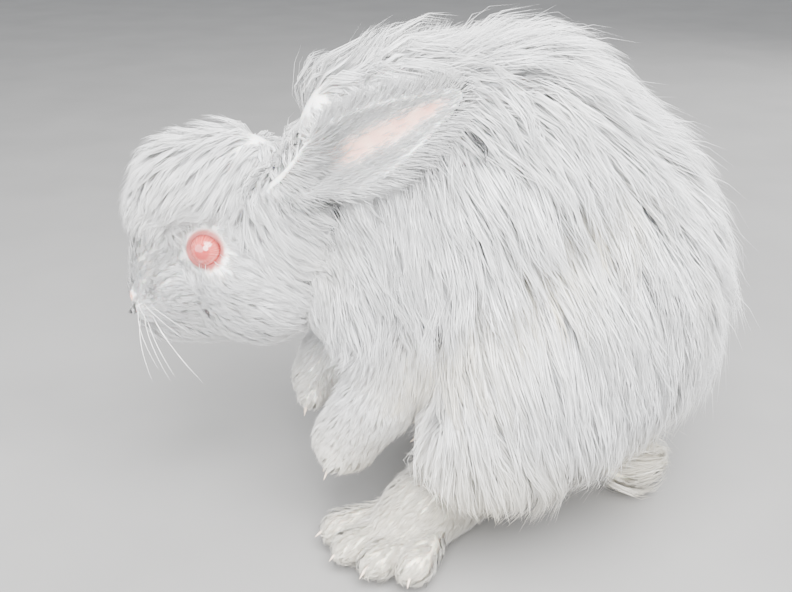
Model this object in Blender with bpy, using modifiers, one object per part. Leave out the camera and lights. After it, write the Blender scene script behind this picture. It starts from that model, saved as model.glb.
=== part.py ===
"""A white angora rabbit, life size, sitting up on its hind feet with the forepaws lifted.

The nose points along -X, the rabbit's left side is towards -Y, and the hind feet and tail stand on z = 0.
The body is one soft form under the wool. Flat, tapered locks are fused to it and lie back and down over
it, and thin cuts then part it into the animal's own parts.
"""

import math
import random
from typing import NamedTuple

import bmesh
import bpy
from mathutils import Matrix, Vector
from mathutils.bvhtree import BVHTree

MM = 0.001
GAP = 0.3 * MM

# The wool: how far the form under it lies below the tips on each part of the body.
TRUNK_WOOL = 24 * MM
NECK_WOOL = 17 * MM
HAUNCH_WOOL = 21 * MM
TAIL_WOOL = 9 * MM
CHEEK_WOOL = 6 * MM

# Driving sizes of the head, ears and feet.
EYE_RADIUS = 9.0 * MM
LID_RADIUS = 9.4 * MM
LID_HEIGHT = 3.4 * MM
LID_THICKNESS = 2.2 * MM
EAR_LENGTH = 119 * MM
EAR_HALF_WIDTH = 14.5 * MM
EAR_THICKNESS = 2.6 * MM
FOOT_LENGTH = 88 * MM
TOE_RADIUS = 7.4 * MM
FINGER_RADIUS = 4.8 * MM

# A lock whose tip would cross into another part of the body is shortened down to the first share of its
# length, and where it still crosses it lies lower, by the second share, so that both sides of the cut hold.
SHORTEST = 0.58
CROSSING_RISE = 0.6

# How finely the soft forms are made.
BODY_VOXEL = 4.5 * MM
HEAD_VOXEL = 1.8 * MM
FOOT_VOXEL = 1.8 * MM
BODY_TRIANGLES = 1000
HEAD_TRIANGLES = 1500
FOOT_TRIANGLES = 370

LEFT, RIGHT = -1, 1
SIDES = {"left": LEFT, "right": RIGHT}
DRAW = random.Random(4)


def at(x, y, z):
    """A place given in millimetres."""
    return Vector((x, y, z)) * MM


class Mass(NamedTuple):
    """A rounded mass of the body: its middle, and its half sizes under the wool."""

    middle: Vector
    radii: Vector


def mass(middle, tips, wool=0.0):
    """A mass given by how far the tips of its wool reach."""
    return Mass(middle, tips - Vector((wool, wool, wool)))


def chain(places, radii):
    """Round masses along a line of places, each blended in size to the next. Radii are in millimetres."""
    steps = 5
    masses = []
    for (start, end), (first, last) in zip(zip(places, places[1:]), zip(radii, radii[1:])):
        for step in range(steps + 1):
            share = step / steps
            size = (first + (last - first) * share) * MM
            masses.append(Mass(start.lerp(end, share), Vector((size, size, size))))
    return masses


def body_masses():
    """The trunk, haunches and tail."""
    masses = [
        mass(at(76, 0, 132), at(88, 98, 108), TRUNK_WOOL),
        mass(at(38, 0, 160), at(94, 94, 116), TRUNK_WOOL),
        mass(at(-12, 0, 177), at(68, 68, 100), TRUNK_WOOL),
        mass(at(-40, 0, 132), at(44, 54, 46), NECK_WOOL),
        mass(at(-48, 0, 192), at(44, 46, 66), NECK_WOOL),
        mass(at(112, 0, 15), at(28, 29, 28), TAIL_WOOL),
    ]
    masses += chain([at(90, 0, 90), at(108, 0, 40)], [40, 20])
    for side in SIDES.values():
        heel, forward, outward = foot_axes(side)
        masses.append(mass(at(50, side * 66, 106), at(66, 46, 72), HAUNCH_WOOL))
        masses += chain([at(28, side * 64, 80), heel + forward * 14 * MM + at(0, 0, 30)], [32, 19])
    return masses


def head_masses():
    """The head under its fur: skull, brow, bridge, cheeks, jaw, whisker pads, chin and nose."""
    profile = [at(-100, 0, 182), at(-128, 0, 164), at(-146, 0, 142), at(-154, 0, 126)]
    masses = chain(profile, [31, 23, 17, 12.5])
    masses += chain([at(-94, 0, 140), at(-124, 0, 119), at(-146, 0, 105)], [28, 19, 9.5])
    masses.append(mass(at(-74, 0, 166), at(40, 42, 46), CHEEK_WOOL))
    masses.append(Mass(at(-162.5, 0, 122), at(5, 7.5, 5.5)))
    for side in SIDES.values():
        masses.append(mass(at(-92, side * 17, 138), at(36, 25, 34), CHEEK_WOOL))
        masses.append(Mass(at(-106, side * 13, 170), at(24, 14, 13)))
        masses.append(Mass(at(-128, side * 10, 136), at(26, 14, 20)))
        masses.append(Mass(at(-151, side * 7.5, 117), at(13, 11, 11.5)))
        masses.append(Mass(at(-138, side * 9, 122), at(17, 12, 14)))
    return masses


def foreleg_masses(side):
    """A lifted foreleg, bent at the wrist. The right one reaches further forward."""
    if side == LEFT:
        places = [at(-6, -44, 112), at(-28, -44, 82), at(-42, -40, 60), at(-49, -38, 48)]
        radii = [20, 17, 15.5, 12.5]
    else:
        places = [at(-18, 44, 112), at(-48, 38, 88), at(-63, 32, 68), at(-67, 29, 54)]
        radii = [19, 16, 14.5, 12]
    masses = chain(places, radii)
    wrist, palm = places[-2:]
    down = (palm - wrist).normalized()
    for across in (-10.5, -3.5, 3.5, 10.5):
        root = palm + at(0, across * 0.7, 0)
        tip = root + down * (15 - 0.35 * abs(across)) * MM + at(-3, across * 0.4, 0)
        masses += chain([root, tip], [6.2, FINGER_RADIUS / MM])
    return masses


HEEL = {LEFT: (22, 32), RIGHT: (80, 36)}
TOE_MIDDLE = {LEFT: (-43, 91), RIGHT: (0, 68)}
# Each hind toe's offset outwards across the foot and forwards along it, in millimetres.
TOES = [(-23, -6), (-7.8, 2), (7.8, 0), (22, -10)]


def foot_axes(side):
    """The hind foot's heel, and its directions forwards and outwards along the floor."""
    heel = at(HEEL[side][0], side * HEEL[side][1], 0)
    forward = (at(TOE_MIDDLE[side][0], side * TOE_MIDDLE[side][1], 0) - heel).normalized()
    outward = Vector((-forward.y, forward.x, 0)) * -side
    return heel, forward, outward


def hindfoot_masses(side):
    """A long hind foot, flat on the floor and turned out, with four spread toes."""
    heel, forward, outward = foot_axes(side)
    up = Vector((0, 0, MM))
    instep = heel + forward * FOOT_LENGTH * 0.45
    ball = heel + forward * FOOT_LENGTH * 0.68
    masses = chain([heel + up * 11, instep + up * 15, ball + up * 13], [15, 18.5, 16])
    for across, along in TOES:
        root = ball + outward * across * 0.62 * MM + up * 9
        tip = heel + forward * (FOOT_LENGTH - TOE_RADIUS + along * MM) + outward * across * MM + up * 5
        masses += chain([root, tip], [9, TOE_RADIUS / MM])
    return masses


def new_object(name, bm):
    mesh = bpy.data.meshes.new(name)
    bm.to_mesh(mesh)
    bm.free()
    obj = bpy.data.objects.new(name, mesh)
    bpy.context.scene.collection.objects.link(obj)
    return obj


def ball(name, place, segments=14, rings=8):
    """A ball of radius 1 moved to its place by a matrix."""
    bm = bmesh.new()
    bmesh.ops.create_uvsphere(bm, u_segments=segments, v_segments=rings, radius=1, matrix=place)
    return new_object(name, bm)


def placed(middle, radii, turn=Matrix.Identity(4)):
    return Matrix.Translation(middle) @ turn @ Matrix.Diagonal((*radii, 1))


def settle(obj):
    """Applies every modifier of an object."""
    graph = bpy.context.evaluated_depsgraph_get()
    mesh = bpy.data.meshes.new_from_object(obj.evaluated_get(graph))
    obj.modifiers.clear()
    obj.data = mesh
    return obj


def soft_form(name, masses, voxel, smoothing, triangles):
    """One smooth closed form over several rounded masses."""
    bm = bmesh.new()
    for part in masses:
        sphere = ball("sphere", placed(part.middle, part.radii), 24, 16)
        bm.from_mesh(sphere.data)
        bpy.data.objects.remove(sphere)
    form = new_object(name, bm)
    remesh = form.modifiers.new("merge", "REMESH")
    remesh.mode = "VOXEL"
    remesh.voxel_size = voxel
    blend = form.modifiers.new("blend", "SMOOTH")
    blend.factor = 0.5
    blend.iterations = smoothing
    settle(form)
    form.data.calc_loop_triangles()
    thin = form.modifiers.new("thin", "DECIMATE")
    thin.ratio = min(1, triangles / len(form.data.loop_triangles))
    return settle(form)


def boolean(obj, other, operation):
    """Joins or cuts an object by another, which is then removed."""
    cut = obj.modifiers.new("cut", "BOOLEAN")
    cut.operation = operation
    cut.solver = "MANIFOLD"
    cut.object = other
    settle(obj)
    bpy.data.objects.remove(other)
    return obj


def join(obj, pieces):
    """Fuses closed pieces into an object with one Boolean union."""
    group = bpy.data.collections.new("pieces")
    bpy.context.scene.collection.children.link(group)
    for piece in pieces:
        group.objects.link(piece)
    union = obj.modifiers.new("union", "BOOLEAN")
    union.operation = "UNION"
    union.solver = "MANIFOLD"
    union.operand_type = "COLLECTION"
    union.collection = group
    settle(obj)
    for piece in list(group.objects):
        bpy.data.objects.remove(piece)
    bpy.data.collections.remove(group)
    return obj


def keep_largest(obj):
    """Keeps only the largest closed surface of an object."""
    bm = bmesh.new()
    bm.from_mesh(obj.data)
    left, best = set(bm.faces), set()
    while left:
        found, edge = set(), [left.pop()]
        while edge:
            face = edge.pop()
            found.add(face)
            near = {other for e in face.edges for other in e.link_faces} & left
            left -= near
            edge += near
        if len(found) > len(best):
            best = found
    bmesh.ops.delete(bm, geom=[face for face in bm.faces if face not in best], context="FACES")
    bm.to_mesh(obj.data)
    bm.free()
    return obj


def copy_of(obj, name):
    twin = obj.copy()
    twin.data = obj.data.copy()
    twin.name = name
    bpy.context.scene.collection.objects.link(twin)
    return twin


def grown(obj, name):
    """A copy of an object that is larger all round by the gap."""
    twin = copy_of(obj, name)
    grow = twin.modifiers.new("grow", "DISPLACE")
    grow.mid_level = 0
    grow.strength = GAP
    return settle(twin)


# The ears are laid back along the neck. Each is given by its root, its tip and which way its hollow faces.
EARS = {
    LEFT: (at(-77, -27, 190), at(14, -81, 252), Vector((-0.15, -1, 0.1))),
    RIGHT: (at(-77, 27, 190), at(14, 81, 252), Vector((-0.15, 1, 0.1))),
}


def ear(name, side):
    """A long leaf-shaped ear, rolled nearly shut at its root and open like a cup along its length."""
    root, tip, faces = EARS[side]
    along = (tip - root).normalized()
    across = along.cross(faces).normalized()
    out = across.cross(along).normalized()
    rows, columns = 12, 7
    bm = bmesh.new()
    grid = []
    for row in range(rows):
        share = row / (rows - 1)
        flat_width = EAR_HALF_WIDTH * (0.62 + 0.75 * math.sin(math.pi * (share * 0.8 + 0.12)) ** 2)
        flat_width *= math.sqrt(max(0.03, 1 - share**6))
        roll = math.radians(155 - 90 * min(1, share * 2.6))
        radius = flat_width / roll * 1.2
        middle = root + along * EAR_LENGTH * share - out * (4 * MM * math.sin(math.pi * share))
        line = []
        for column in range(columns):
            angle = (column / (columns - 1) * 2 - 1) * roll
            corner = across * radius * math.sin(angle) + out * radius * (1 - math.cos(angle))
            line.append(bm.verts.new(middle + corner))
        grid.append(line)
    for low, high in zip(grid, grid[1:]):
        for column in range(columns - 1):
            bm.faces.new((low[column], low[column + 1], high[column + 1], high[column]))
    leaf = new_object(name, bm)
    shell = leaf.modifiers.new("shell", "SOLIDIFY")
    shell.thickness = EAR_THICKNESS
    shell.offset = 0
    return settle(leaf)


def ear_hollow(side):
    """A solid that fills the open side of an ear, to clear it of wool."""
    root, tip, faces = EARS[side]
    out = faces.normalized()
    turn = (tip - root).to_track_quat("X", "Z").to_matrix().to_4x4()
    middle = root.lerp(tip, 0.56) + out * 15 * MM
    return ball("hollow", placed(middle, at(48, 14, 18), turn))


def eye_middle(side):
    return at(-117, side * 21, 156)


def eye_turn(side):
    """Turns +Z to where the eye looks: out to its side, and a little forwards and up."""
    return Vector((-0.2, side, 0.12)).to_track_quat("Z", "Y").to_matrix().to_4x4()


def eye_ball(name, side, radius):
    return ball(name, placed(eye_middle(side), Vector((radius, radius, radius)), eye_turn(side)))


def loft(name, rings, tip=None):
    """A closed form through rings of corners, with a flat end or one that runs out to a tip."""
    bm = bmesh.new()
    rows = [[bm.verts.new(corner) for corner in corners] for corners in rings]
    count = len(rows[0])
    for low, high in zip(rows, rows[1:]):
        for i in range(count):
            j = (i + 1) % count
            bm.faces.new((low[i], low[j], high[j], high[i]))
    bm.faces.new(rows[0][::-1])
    if tip is None:
        bm.faces.new(rows[-1])
    else:
        end = bm.verts.new(tip)
        for i in range(count):
            bm.faces.new((rows[-1][i], rows[-1][(i + 1) % count], end))
    bmesh.ops.recalc_face_normals(bm, faces=bm.faces)
    bmesh.ops.triangulate(bm, faces=bm.faces)
    return new_object(name, bm)


def groove(places, half_width):
    """A thin cutter with four sides along a line of places."""
    rings = []
    for index, place in enumerate(places):
        run = (places[min(index + 1, len(places) - 1)] - places[max(0, index - 1)]).normalized()
        across = run.cross(Vector((0.3, 0, 1))).normalized() if abs(run.z) < 0.8 else Vector((0, 1, 0))
        corners = [across, across.cross(run), -across, run.cross(across)]
        rings.append([place + corner * half_width for corner in corners])
    return loft("groove", rings)


def ring(name, major, minor, place):
    """A ring round Z, moved to its place by a matrix."""
    bpy.ops.mesh.primitive_torus_add(
        major_segments=14, minor_segments=5, major_radius=major, minor_radius=minor
    )
    obj = bpy.context.object
    obj.name = name
    obj.data.transform(place)
    return obj


def tree_of(obj):
    """The surface of an object, to cast rays at."""
    bm = bmesh.new()
    bm.from_mesh(obj.data)
    tree = BVHTree.FromBMesh(bm)
    bm.free()
    return tree


def face_details(head):
    """Adds the lids, and cuts the nostrils, the cleft of the lip and the line of the mouth."""
    surface = tree_of(head)
    lids = []
    for side in SIDES.values():
        rim = eye_middle(side) + eye_turn(side).to_3x3() @ Vector((0, 0, LID_HEIGHT))
        lids.append(ring("lid", LID_RADIUS, LID_THICKNESS, placed(rim, (1.08, 0.94, 1), eye_turn(side))))
    join(head, lids)
    for side in SIDES.values():
        turn = Matrix.Rotation(math.radians(side * 40), 4, "X") @ Matrix.Rotation(math.radians(20), 4, "Y")
        nostril = ball("nostril", placed(at(-166, side * 3.6, 122), at(3.5, 1.1, 2.6), turn))
        boolean(head, nostril, "DIFFERENCE")
    cleft, mouth = [], []
    for step in range(5):
        cleft.append(surface.ray_cast(at(-200, 0, 118 - 2.8 * step), Vector((1, 0, 0)))[0])
    for step in range(-6, 7):
        turn = math.radians(16 * step)
        outward = Vector((-math.cos(turn), math.sin(turn), 0))
        middle = at(-142, 0, 107.5 - 0.55 * abs(step))
        mouth.append(surface.ray_cast(middle + outward * 60 * MM, -outward)[0])
    boolean(head, groove(cleft, 1.3 * MM), "DIFFERENCE")
    return boolean(head, groove(mouth, 1.3 * MM), "DIFFERENCE")


class Region(NamedTuple):
    """A part of space that belongs to one node: an ellipsoid or a box."""

    node: str
    shape: str
    middle: Vector
    radii: Vector
    turn: Matrix = Matrix.Identity(4)


def region_cutter(region, margin):
    radii = region.radii + Vector((margin, margin, margin))
    if region.shape == "ball":
        return ball("cutter", placed(region.middle, radii, region.turn), 20, 12)
    bm = bmesh.new()
    bmesh.ops.create_cube(bm, size=2, matrix=placed(region.middle, radii, region.turn))
    return new_object("cutter", bm)


def beyond_plane(node, low, high, direction):
    """The space before or behind a slanted plane across the body, through two places of the midline."""
    up = (high - low).normalized()
    back = Vector((up.z, 0, -up.x))
    turn = Matrix((back, (0, 1, 0), (-back.z, 0, back.x))).transposed().to_4x4()
    reach = 300 * MM
    return Region(node, "box", (low + high) / 2 + back * reach * direction, Vector((reach,) * 3), turn)


def box_below(node, top, down, forward, radii):
    """A box that ends in a flat top across a limb, through a place on the limb's middle line."""
    up = -down.normalized()
    across = up.cross(forward).normalized()
    turn = Matrix((across.cross(up), across, up)).transposed().to_4x4()
    return Region(node, "box", top - up * radii.z, radii, turn)


def regions():
    """The nodes of the body in the order that they are cut out of it. The last takes what is left."""
    found = []
    for name, side in SIDES.items():
        found.append(Region(f"thigh_{name}", "ball", at(54, side * 84, 104), at(78, 52, 84)))
    for name, side in SIDES.items():
        top = at(-18, -44, 95) if side == LEFT else at(-36, 41, 99)
        down = Vector((-0.55, 0, -0.85)) if side == LEFT else Vector((-0.5, -0.2, -0.85))
        found.append(box_below(f"foreleg_{name}", top, down, Vector((1, 0, 0)), at(27, 23, 40)))
    for name, side in SIDES.items():
        heel, forward, outward = foot_axes(side)
        top = heel + forward * FOOT_LENGTH * 0.5 + at(0, 0, 50)
        down = Vector((0, 0, -1)) + forward * 0.12
        found.append(box_below(f"hindfoot_{name}", top, down, forward, at(68, 33, 35)))
    found.append(box_below("tail", at(112, 0, 32), Vector((0.25, 0, -1)), Vector((1, 0, 0)), at(50, 36, 40)))
    found.append(beyond_plane("head", at(-82, 0, 96), at(-50, 0, 200), -1))
    found.append(beyond_plane("neck", at(-70, 0, 112), at(15, 0, 270), -1))
    found.append(beyond_plane("rump", at(20, 0, 20), at(75, 0, 270), 1))
    return found


def node_at(place, found):
    """The name of the node that a place belongs to."""
    for region in found:
        local = region.turn.to_3x3().transposed() @ (place - region.middle)
        share = [abs(local[i]) / region.radii[i] for i in range(3)]
        if max(share) < 1 and (region.shape == "box" or sum(value * value for value in share) < 1):
            return region.node
    return "torso"


def part_body(whole, rest_name):
    """Parts one closed form into nodes with a thin cut between neighbours."""
    nodes = []
    for region in regions():
        node = copy_of(whole, region.node)
        boolean(node, region_cutter(region, 0), "INTERSECT")
        boolean(whole, region_cutter(region, GAP), "DIFFERENCE")
        nodes.append(keep_largest(node))
    whole.name = rest_name
    return nodes + [keep_largest(whole)]


class Lie(NamedTuple):
    """How a lock grows: its length, width and thickness, how high its tip stands, how closely it clings."""

    length: float
    width: float
    thickness: float
    rise: float
    cling: float


TRUNK_LOCK = Lie(70 * MM, 39 * MM, 10 * MM, 24 * MM, 0.85)
NECK_LOCK = Lie(54 * MM, 30 * MM, 8 * MM, 17 * MM, 0.85)
FRINGE_LOCK = Lie(30 * MM, 17 * MM, 5 * MM, 9 * MM, 0.7)
CHEEK_LOCK = Lie(30 * MM, 17 * MM, 4 * MM, 4.5 * MM, 0.8)
TAIL_LOCK = Lie(34 * MM, 22 * MM, 6 * MM, 9 * MM, 0.7)


def wool_flow(place):
    """Which way the wool runs on the body: back from the neck, down the flanks and straight down behind."""
    rear = min(1, max(0, (place.x - 20 * MM) / (110 * MM)))
    front = min(1, max(0, (-30 * MM - place.x) / (50 * MM)))
    back = 0.8 - 0.55 * rear - 0.4 * front
    side = min(1, abs(place.y) / (90 * MM))
    down = 0.25 + 0.55 * side + 0.5 * rear + 0.5 * front
    return Vector((back, 0.15 * math.copysign(side, place.y), -down))


def cheek_flow(place):
    return Vector((0.8, 0.2 * math.copysign(1, place.y), -0.5))


def fringe_flow(place):
    return Vector((-0.75, place.y / (40 * MM), -0.75))


def clear_of_ears(place):
    """Moves a place behind the back of a near ear, so that no lock runs through its hollow."""
    for root, tip, faces in EARS.values():
        along = tip - root
        share = min(1.05, max(0, (place - root).dot(along) / along.dot(along)))
        offset = place - root - along * share
        depth = offset.dot(faces.normalized())
        if offset.length < 30 * MM and depth > -9 * MM:
            place = place - faces.normalized() * (depth + 9 * MM)
    return place


HEIGHTS = (-0.4, 0.4, 0.85, 1.0)
WIDTHS = (0.6, 1.0, 0.72)
THICKNESSES = (0.8, 1.0, 0.8)


def spine_of(root, kind, flow, surface, size, length):
    """The middle line of a lock, from below its root to its tip, with the form's direction at each place."""
    here, normal = root
    spine = []
    for step, height in enumerate(HEIGHTS):
        if step:
            direction = flow(here)
            direction = (direction - normal * direction.dot(normal) * kind.cling).normalized()
            here = here + direction * length / (len(HEIGHTS) - 1)
        near, normal = surface.find_nearest(here)[:2]
        depth = (here - near).dot(normal)
        target = kind.rise * size * height
        if depth < target:
            here = near + normal * target
        elif kind.cling > 0.5:
            here = near + normal * (target + (depth - target) * (1 - kind.cling))
        here = clear_of_ears(here)
        here.z = max(here.z, (3.5 if step < 3 else 1.5) * MM)
        spine.append((here, normal))
    return spine


def lock(root, kind, flow, surface, size):
    """A flat lock that leaves the form at its root, follows the flow of the wool and ends in a tip."""
    found = regions()
    length = kind.length * size
    shortest = length * SHORTEST
    spine = spine_of(root, kind, flow, surface, size, length)
    while length > shortest and node_at(spine[-1][0], found) != node_at(spine[0][0], found):
        length *= 0.9
        spine = spine_of(root, kind, flow, surface, size, length)
    if node_at(spine[-1][0], found) != node_at(spine[0][0], found):
        low = kind._replace(rise=kind.rise * CROSSING_RISE)
        spine = spine_of(root, low, flow, surface, size, length)
    rings = []
    for index, (place, up) in enumerate(spine[:-1]):
        run = (spine[index + 1][0] - spine[max(0, index - 1)][0]).normalized()
        across = run.cross(up).normalized()
        up = across.cross(run)
        half = kind.width * size * WIDTHS[index] / 2
        thick = kind.thickness * size * THICKNESSES[index]
        rings.append([place - across * half, place + up * thick, place + across * half])
    return loft("lock", rings, spine[-1][0])


def ringed_roots(surface, middle, axis, spacing, row_spacing, reach, keep):
    """Roots in staggered rings round an axis through the body, from its front end to its rear end."""
    axis = axis.normalized()
    side = Vector((0, 1, 0))
    third = axis.cross(side)
    rows = int(math.pi * reach / row_spacing)
    for row in range(rows):
        angle = math.pi * ((row + 0.6) / rows - 0.5)
        count = max(3, round(2 * math.pi * reach * math.cos(angle) / spacing))
        for column in range(count):
            turn = 2 * math.pi * (column + 0.5 * (row % 2) + DRAW.uniform(-0.06, 0.06)) / count
            bend = angle + DRAW.uniform(-0.04, 0.04)
            round_it = side * math.cos(turn) + third * math.sin(turn)
            outward = round_it * math.cos(bend) + axis * math.sin(bend)
            hit = surface.ray_cast(middle + outward * 0.4, -outward)
            if hit[0] and keep(hit[0]):
                yield hit[0], hit[1]


def on_trunk(place):
    """Whether trunk wool grows here: not on the neck, withers, chest, legs, feet or tail."""
    front = place.x < -12 * MM or place.x < 8 * MM and place.z < 110 * MM
    withers = place.x < 42 * MM and place.z > 225 * MM and abs(place.y) < 20 * MM
    return place.z > 40 * MM and not front and not withers


class Patch(NamedTuple):
    """Rows of locks across the midline: the kind and flow, and each row's x, z, count, spread and size."""

    kind: Lie
    flow: object
    rows: list


FRINGE_ROWS = [(-92, 217, 3, 17, 1), (-112, 210, 4, 16, 1), (-130, 195, 3, 16, 1), (-144, 174, 2, 15, 0.9)]
NAPE_ROWS = [(-78, 224, 2, 26, 0.9), (-58, 244, 3, 27, 1), (-34, 258, 3, 30, 1.15), (-8, 268, 3, 32, 1.3)]
CHEST_ROWS = [(-72, 124, 2, 30, 0.95), (-56, 102, 3, 30, 0.95), (-34, 90, 2, 32, 1)]
PATCHES = [
    Patch(FRINGE_LOCK, fringe_flow, FRINGE_ROWS),
    Patch(NECK_LOCK, wool_flow, NAPE_ROWS),
    Patch(NECK_LOCK, wool_flow, CHEST_ROWS),
]
SIDE_LOCKS = [
    (CHEEK_LOCK, [(-114, 24, 110), (-101, 34, 118), (-97, 38, 136)]),
    (NECK_LOCK, [(-66, 46, 150), (-56, 46, 122), (-44, 56, 176), (-40, 56, 142), (-36, 54, 206)]),
    (NECK_LOCK, [(-20, 62, 124), (-14, 64, 160), (-10, 66, 192), (-8, 50, 226)]),
    (TRUNK_LOCK, [(12, 22, 262)]),
]


def stands_off(spine, surface, rise):
    """Whether the tip of a lock has been pushed far off the form, by an ear."""
    tip = spine[-1][0]
    return (tip - surface.find_nearest(tip)[0]).length > 1.4 * rise


def coat(surface):
    """Every lock of the wool."""
    locks = []
    axis = Vector((0.8, 0, -0.6))
    for root in ringed_roots(surface, at(45, 0, 135), axis, 39 * MM, 37 * MM, 92 * MM, on_trunk):
        size = DRAW.uniform(0.88, 1.1)
        spine = spine_of(root, TRUNK_LOCK, wool_flow, surface, size, TRUNK_LOCK.length * size)
        if not stands_off(spine, surface, TRUNK_LOCK.rise):
            locks.append(lock(root, TRUNK_LOCK, wool_flow, surface, size))
    for patch in PATCHES:
        for x, z, count, spread, size in patch.rows:
            for column in range(count):
                root = surface.find_nearest(at(x, (column - (count - 1) / 2) * spread, z))[:2]
                locks.append(lock(root, patch.kind, patch.flow, surface, size * DRAW.uniform(0.88, 1.12)))
    for kind, places in SIDE_LOCKS:
        for x, y, z in places:
            for side in SIDES.values():
                root = surface.find_nearest(at(x, side * y, z))[:2]
                flow = cheek_flow if kind is CHEEK_LOCK else wool_flow
                locks.append(lock(root, kind, flow, surface, DRAW.uniform(0.88, 1.12)))
    for index in range(6):
        turn = math.radians(-60 + 60 * index)
        root = surface.find_nearest(at(112 + 24 * math.cos(turn), 24 * math.sin(turn), 30))[:2]
        locks.append(lock(root, TAIL_LOCK, wool_flow, surface, DRAW.uniform(0.88, 1.12)))
    return locks


def colour(obj, name, rgb, roughness):
    material = bpy.data.materials.get(name) or bpy.data.materials.new(name)
    material.use_nodes = True
    shader = material.node_tree.nodes["Principled BSDF"]
    shader.inputs["Base Color"].default_value = (*rgb, 1)
    shader.inputs["Roughness"].default_value = roughness
    obj.data.materials.clear()
    obj.data.materials.append(material)


def main():
    for obj in list(bpy.data.objects):
        bpy.data.objects.remove(obj)
    rabbit = bpy.data.collections.new("angora_rabbit")
    bpy.context.scene.collection.children.link(rabbit)

    whole = soft_form("body", body_masses(), BODY_VOXEL, 8, BODY_TRIANGLES)
    limbs = [face_details(soft_form("skull", head_masses(), HEAD_VOXEL, 9, HEAD_TRIANGLES))]
    for side in SIDES.values():
        limbs.append(soft_form("foot", hindfoot_masses(side), FOOT_VOXEL, 4, FOOT_TRIANGLES))
        limbs.append(soft_form("paw", foreleg_masses(side), FOOT_VOXEL, 4, FOOT_TRIANGLES))
    join(whole, limbs)
    join(whole, coat(tree_of(whole)))

    # The floor and the eyes, then the ears, each with a gap left round it.
    bm = bmesh.new()
    bmesh.ops.create_cube(bm, size=1, matrix=Matrix.Translation((0, 0, -0.5)))
    boolean(whole, new_object("floor", bm), "DIFFERENCE")
    pieces = []
    for name, side in SIDES.items():
        eye = eye_ball(f"eye_{name}", side, EYE_RADIUS)
        flap = ear(f"ear_{name}", side)
        boolean(whole, eye_ball("socket", side, EYE_RADIUS + GAP), "DIFFERENCE")
        boolean(whole, grown(flap, "clear"), "DIFFERENCE")
        boolean(whole, ear_hollow(side), "DIFFERENCE")
        colour(eye, "eye", (0.75, 0.12, 0.1), 0.15)
        colour(flap, "ear", (0.85, 0.68, 0.6), 0.8)
        pieces += [eye, flap]
    for node in part_body(whole, "torso"):
        colour(node, "wool", (0.86, 0.85, 0.82), 0.9)
        pieces.append(node)
    for obj in pieces:
        bpy.context.scene.collection.objects.unlink(obj)
        rabbit.objects.link(obj)


main()
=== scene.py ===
"""The looks of a life-size white angora rabbit: a skin, a coat of fine strands, eyes, whiskers and claws.

The nose points along -X, the rabbit's left side is towards -Y and it stands on z = 0. The skin is modelled
from the same rounded masses as the solids, each drawn in by the depth of its coat. Strands grow from the skin
in locks: each lock follows a guide that runs over the body along the lie of the wool.
"""

import math
from collections import namedtuple

import bmesh
import bpy
import numpy as np
from mathutils import Matrix, Vector
from mathutils.bvhtree import BVHTree
from mathutils.kdtree import KDTree


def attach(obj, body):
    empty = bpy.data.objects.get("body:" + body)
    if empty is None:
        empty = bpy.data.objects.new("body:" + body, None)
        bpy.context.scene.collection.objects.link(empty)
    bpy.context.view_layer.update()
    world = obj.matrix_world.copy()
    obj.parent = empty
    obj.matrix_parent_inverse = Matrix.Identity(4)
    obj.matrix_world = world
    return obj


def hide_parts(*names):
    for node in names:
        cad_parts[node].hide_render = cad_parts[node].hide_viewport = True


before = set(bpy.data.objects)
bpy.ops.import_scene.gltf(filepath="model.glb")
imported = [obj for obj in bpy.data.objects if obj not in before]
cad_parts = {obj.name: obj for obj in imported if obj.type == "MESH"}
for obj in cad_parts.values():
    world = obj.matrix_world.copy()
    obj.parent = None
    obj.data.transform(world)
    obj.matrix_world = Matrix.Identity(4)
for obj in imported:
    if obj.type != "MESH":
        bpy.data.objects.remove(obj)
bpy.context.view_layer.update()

MM = 0.001
LEFT, RIGHT = -1, 1
SIDES = {"left": LEFT, "right": RIGHT}
FLESH = [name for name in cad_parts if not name.startswith("eye_")]

# Driving sizes, in millimetres.
EYE_RADIUS = 9.0
LID_OPENING = 9.9
EAR_LENGTH = 117.0
EAR_HALF_WIDTH = 13.6
EAR_THICKNESS = 2.4
EAR_BOW = 4.0
FOOT_LENGTH = 88.0
CLEFT_HALF_WIDTH = 1.2
MOUTH_HALF_WIDTH = 1.3
# Each ring of a lid: its radius, its thickness and how far it lies in front of the eye's middle.
LID_RINGS = ((8.9, 1.25, 3.1), (10.3, 1.5, 1.5), (12.0, 2.0, -1.6))
# The lowest that the skin, the strands and their guides reach.
SKIN_FLOOR = 0.6
STRAND_FLOOR = 0.2
GUIDE_FLOOR = 2.0

# How finely the skin is made.
BODY_VOXEL = 4.0
HEAD_VOXEL = 1.6
BODY_SMOOTHING = 8
LIMB_SMOOTHING = 3
SKIN_SMOOTHING = 2
SKIN_VOXEL = 1.25
SKIN_TRIANGLES = 90000
UNWRAP_TRIANGLES = 6000
CHAIN_STEPS = 5

# The size of a strand's patch on the unwrap.
PATCH = 0.003

# How far the cornea stands over the eyeball, as a share of its radius.
CORNEA_RISE = 0.045

# The hair of one part of the body, in millimetres: its length, how high its tips stand over the skin, the
# width of a strand, how far strands draw together in a lock, strands for each square millimetre, how closely
# it clings to the body, and the name of its flow.
Coat = namedtuple("Coat", "length depth width gather density cling flow")

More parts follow.
